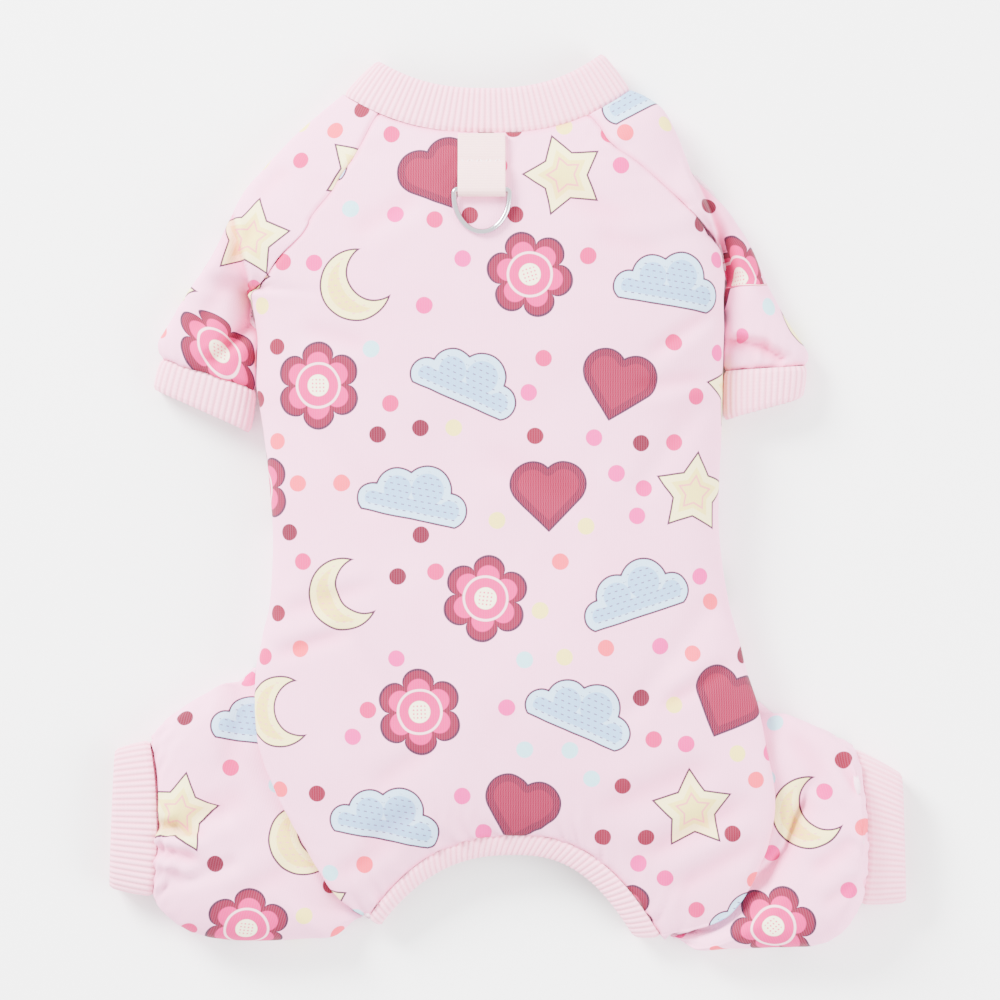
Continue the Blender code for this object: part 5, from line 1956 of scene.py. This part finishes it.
@dataclass(frozen=True)
class PlatedFinish:
    """Bright plated steel wire with a few fine scuffs."""

    colour: tuple = (0.50, 0.50, 0.53, 1.0)
    scuffed: tuple = (0.34, 0.34, 0.37, 1.0)

    def material(self) -> bpy.types.Material:
        """The material."""
        surface = Surface("bright_plate")
        scuff = surface.noise(surface.body_place(), 900.0, 4.0)
        return surface.coat(surface.mix(scuff * 0.25, self.colour, self.scuffed), scuff * 0.14 + 0.10, metal=1.0)


@dataclass(frozen=True)
class ThreadFinish:
    """Matt sewing thread."""

    colour: tuple = linear(250, 238, 238)
    groove: tuple = linear(226, 190, 200)

    def material(self) -> bpy.types.Material:
        """The material."""
        surface = Surface("sewing_thread")
        twist = surface.noise(surface.body_place(), 2600.0, 2.0)
        return surface.coat(surface.mix(twist * 0.5, self.colour, self.groove), twist * 0.2 + 0.55)


@dataclass(frozen=True)
class PaperFinish:
    """Matt pale paper with a faint grain."""

    pale: tuple = (0.93, 0.93, 0.93, 1)
    grey: tuple = (0.90, 0.90, 0.90, 1)

    def material(self) -> bpy.types.Material:
        """The material."""
        surface = Surface("pale_paper")
        grain = surface.noise(surface.body_place(), 300.0, 3.0)
        return surface.coat(surface.mix(grain * 0.2, self.pale, self.grey), 0.9, specular=0.0)


def wear(piece: bpy.types.Object, material: bpy.types.Material) -> None:
    """Gives a piece one material."""
    piece.data.materials.clear()
    piece.data.materials.append(material)


def report(piece: bpy.types.Object) -> None:
    """Logs a finished piece."""
    LOG.info("%s: %d faces", piece.name, len(piece.data.polygons))


# Cuts of the jersey pieces by node: width and length in metres, area in square metres, how far the print is turned in
# degrees and where the print lies
JERSEY_CUTS = {
    "back_panel": ((0.30, 0.36), 0.081, 0.0, (0.012, 0.020)),
    "belly_panel": ((0.21, 0.34), 0.045, 0.0, (0.5, 0.2)),
    "left_sleeve": ((0.12, 0.12), 0.0099, 24.0, (-0.731, 0.417)),
    "right_sleeve": ((0.12, 0.12), 0.0078, -20.0, (0.731, 0.417)),
    "left_leg": ((0.20, 0.10), 0.0150, 14.0, (-1.367, 0.813)),
    "right_leg": ((0.20, 0.10), 0.0120, -14.0, (1.375, 0.813)),
}
# Width and length of the ribbed pieces' cuts, in metres
COLLAR_CUT = (0.26, 0.0195)
BINDING_CUT = (0.29, 0.0105)
SLEEVE_CUFF_CUT = (0.088, 0.0195)
LEG_CUFF_CUT = (0.145, 0.0185)


@dataclass
class Jumpsuit:
    """The whole suit, built piece by piece round the fixed solids."""

    offset: tuple[float, float]
    torso: Torso

    def finishes(self) -> None:
        """Makes the materials once."""
        knit = Knit().group()
        self.jersey = JerseyFinish().material(Print().build(), knit)
        self.wrong_side = WrongSideFinish().material(knit)
        self.rib = RibFinish().material()
        self.webbing = WebbingFinish().material()
        self.plate = PlatedFinish().material()
        self.thread = ThreadFinish().material()

    def panel(self, node: str, grid: ClothGrid) -> None:
        """Makes a printed jersey piece in place of its solid."""
        flat, area, turn, shift = JERSEY_CUTS[node]
        piece = grid.mesh_object(
            "printed_" + node.removesuffix("_panel"), SIZES.jersey_wall, grid.uv(turn, shift),
            (self.jersey, self.wrong_side), self.offset, faces_down=node == "belly_panel",
        )
        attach(piece, "suit")
        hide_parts(node)
        report(piece)

    def band(self, node: str, band: RibBand, flat: tuple[float, float]) -> None:
        """Makes a ribbed piece in place of its solid."""
        grid, coords = band.grid()
        name = "ribbed_" + node.removeprefix("neck_")
        piece = grid.mesh_object(name, SIZES.rib_wall, coords, (self.rib,), self.offset)
        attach(piece, "suit")
        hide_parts(node)
        report(piece)

    def body(self) -> None:
        """The back panel, the belly panel, the collar and the rump binding."""
        self.panel("back_panel", self.torso.back_grid())
        self.panel("belly_panel", self.torso.belly_grid())
        seam = self.torso.section(0)
        free = moved_section(seam, COLLAR_REACH, SIZES.collar_width, COLLAR_HEIGHTS)
        self.band("neck_collar", RibBand(seam, free, (Side.LEFT, Side.RIGHT)), COLLAR_CUT)
        seam = self.torso.section(ARCH)
        seam.roll_down = seam.edge
        free = moved_section(seam, BINDING_REACH, SIZES.binding_width, BINDING_HEIGHTS)
        self.band("rump_binding", RibBand(seam, free, (Side.LEFT, Side.RIGHT), rows=12), BINDING_CUT)

    def limbs(self) -> None:
        """Sleeves and legs, with their cuffs."""
        for side in Side:
            sleeve = Sleeve(self.torso, side)
            self.panel(f"{side.word}_sleeve", sleeve.grid())
            self.band(f"{side.word}_sleeve_cuff", sleeve.cuff(), SLEEVE_CUFF_CUT)
            leg = Leg(self.torso, side)
            self.panel(f"{side.word}_leg", leg.grid())
            self.band(f"{side.word}_leg_cuff", leg.cuff(), LEG_CUFF_CUT)

    def leash_ring(self) -> None:
        """The strap, its stitches and the D-ring."""
        strap = Strap(self.torso)
        webbing = strap.strap_object(self.offset)
        wear(webbing, self.webbing)
        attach(webbing, "suit")
        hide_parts("leash_strap")
        report(webbing)
        stitches = strap.stitch_object(self.offset)
        wear(stitches, self.thread)
        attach(stitches, "suit")
        report(stitches)
        ring = strap.ring_object(self.offset)
        wear(ring, self.plate)
        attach(ring, "ring")
        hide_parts("d_ring")
        report(ring)

    def build(self) -> None:
        """Builds every piece in order."""
        self.finishes()
        self.body()
        self.limbs()
        self.leash_ring()


@dataclass(frozen=True)
class Studio:
    """The pale floor, the soft light and the camera straight above. Lengths are in metres and powers in watts."""

    floor_size: float = 6.0
    floor_drop: float = 0.0002
    lamps: tuple = (("key", (-1.5, 1.5, 1.2), 1.0, 290.0), ("fill", (1.7, -0.5, 1.2), 1.4, 96.0))
    sky: float = 2.9
    view_width: float = 0.4228
    centre: tuple[float, float] = (-0.00335, 0.0018)
    distance: float = 2.4
    sheet_height: float = 0.020
    sensor: float = 36.0
    far: float = 20.0

    def floor(self) -> None:
        """A wide pale floor."""
        deselect_all()
        bpy.ops.mesh.primitive_plane_add(size=self.floor_size, location=(0, 0, -self.floor_drop))
        plane = bpy.context.active_object
        plane.name = "pale_floor"
        wear(plane, PaperFinish().material())

    def light(self, name: str, place: tuple, size: float, power: float) -> None:
        """A soft square lamp that looks at the suit."""
        lamp = bpy.data.lights.new(name, "AREA")
        lamp.shape = "SQUARE"
        lamp.size = size
        lamp.energy = power
        holder = bpy.data.objects.new(name, lamp)
        holder.location = place
        aim = -np.array(place) / np.linalg.norm(place)
        holder.rotation_euler = (math.acos(-aim[2]), 0, math.atan2(aim[1], aim[0]) - math.pi / 2)
        bpy.context.scene.collection.objects.link(holder)

    def build(self) -> None:
        """Floor, lamps, world and camera."""
        self.floor()
        for lamp in self.lamps:
            self.light(*lamp)
        world = bpy.data.worlds.new("studio")
        world.use_nodes = True
        background = world.node_tree.nodes["Background"]
        background.inputs[0].default_value = (1.0, 1.0, 1.0, 1.0)
        background.inputs[1].default_value = self.sky
        bpy.context.scene.world = world
        camera = bpy.data.cameras.new("above")
        camera.sensor_width = self.sensor
        camera.lens = self.sensor * (self.distance - self.sheet_height) / self.view_width
        camera.clip_end = self.far
        holder = bpy.data.objects.new("above", camera)
        holder.location = (*self.centre, self.distance)
        bpy.context.scene.collection.objects.link(holder)
        bpy.context.scene.camera = holder


def main() -> None:
    """Loads the frame, builds the suit round it and sets the studio."""
    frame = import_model()
    hinge = frame["joints"][0]["pos_m"]
    torso = Torso()
    _, (bar_y, _), _ = Strap(torso).layout()
    offset = (hinge[0] - STRAP_X * SIZES.chest_width, hinge[1] - bar_y)
    LOG.info("plan offset %.5f %.5f", *offset)
    Jumpsuit(offset, torso).build()
    Studio().build()


if __name__ == "__main__":
    main()
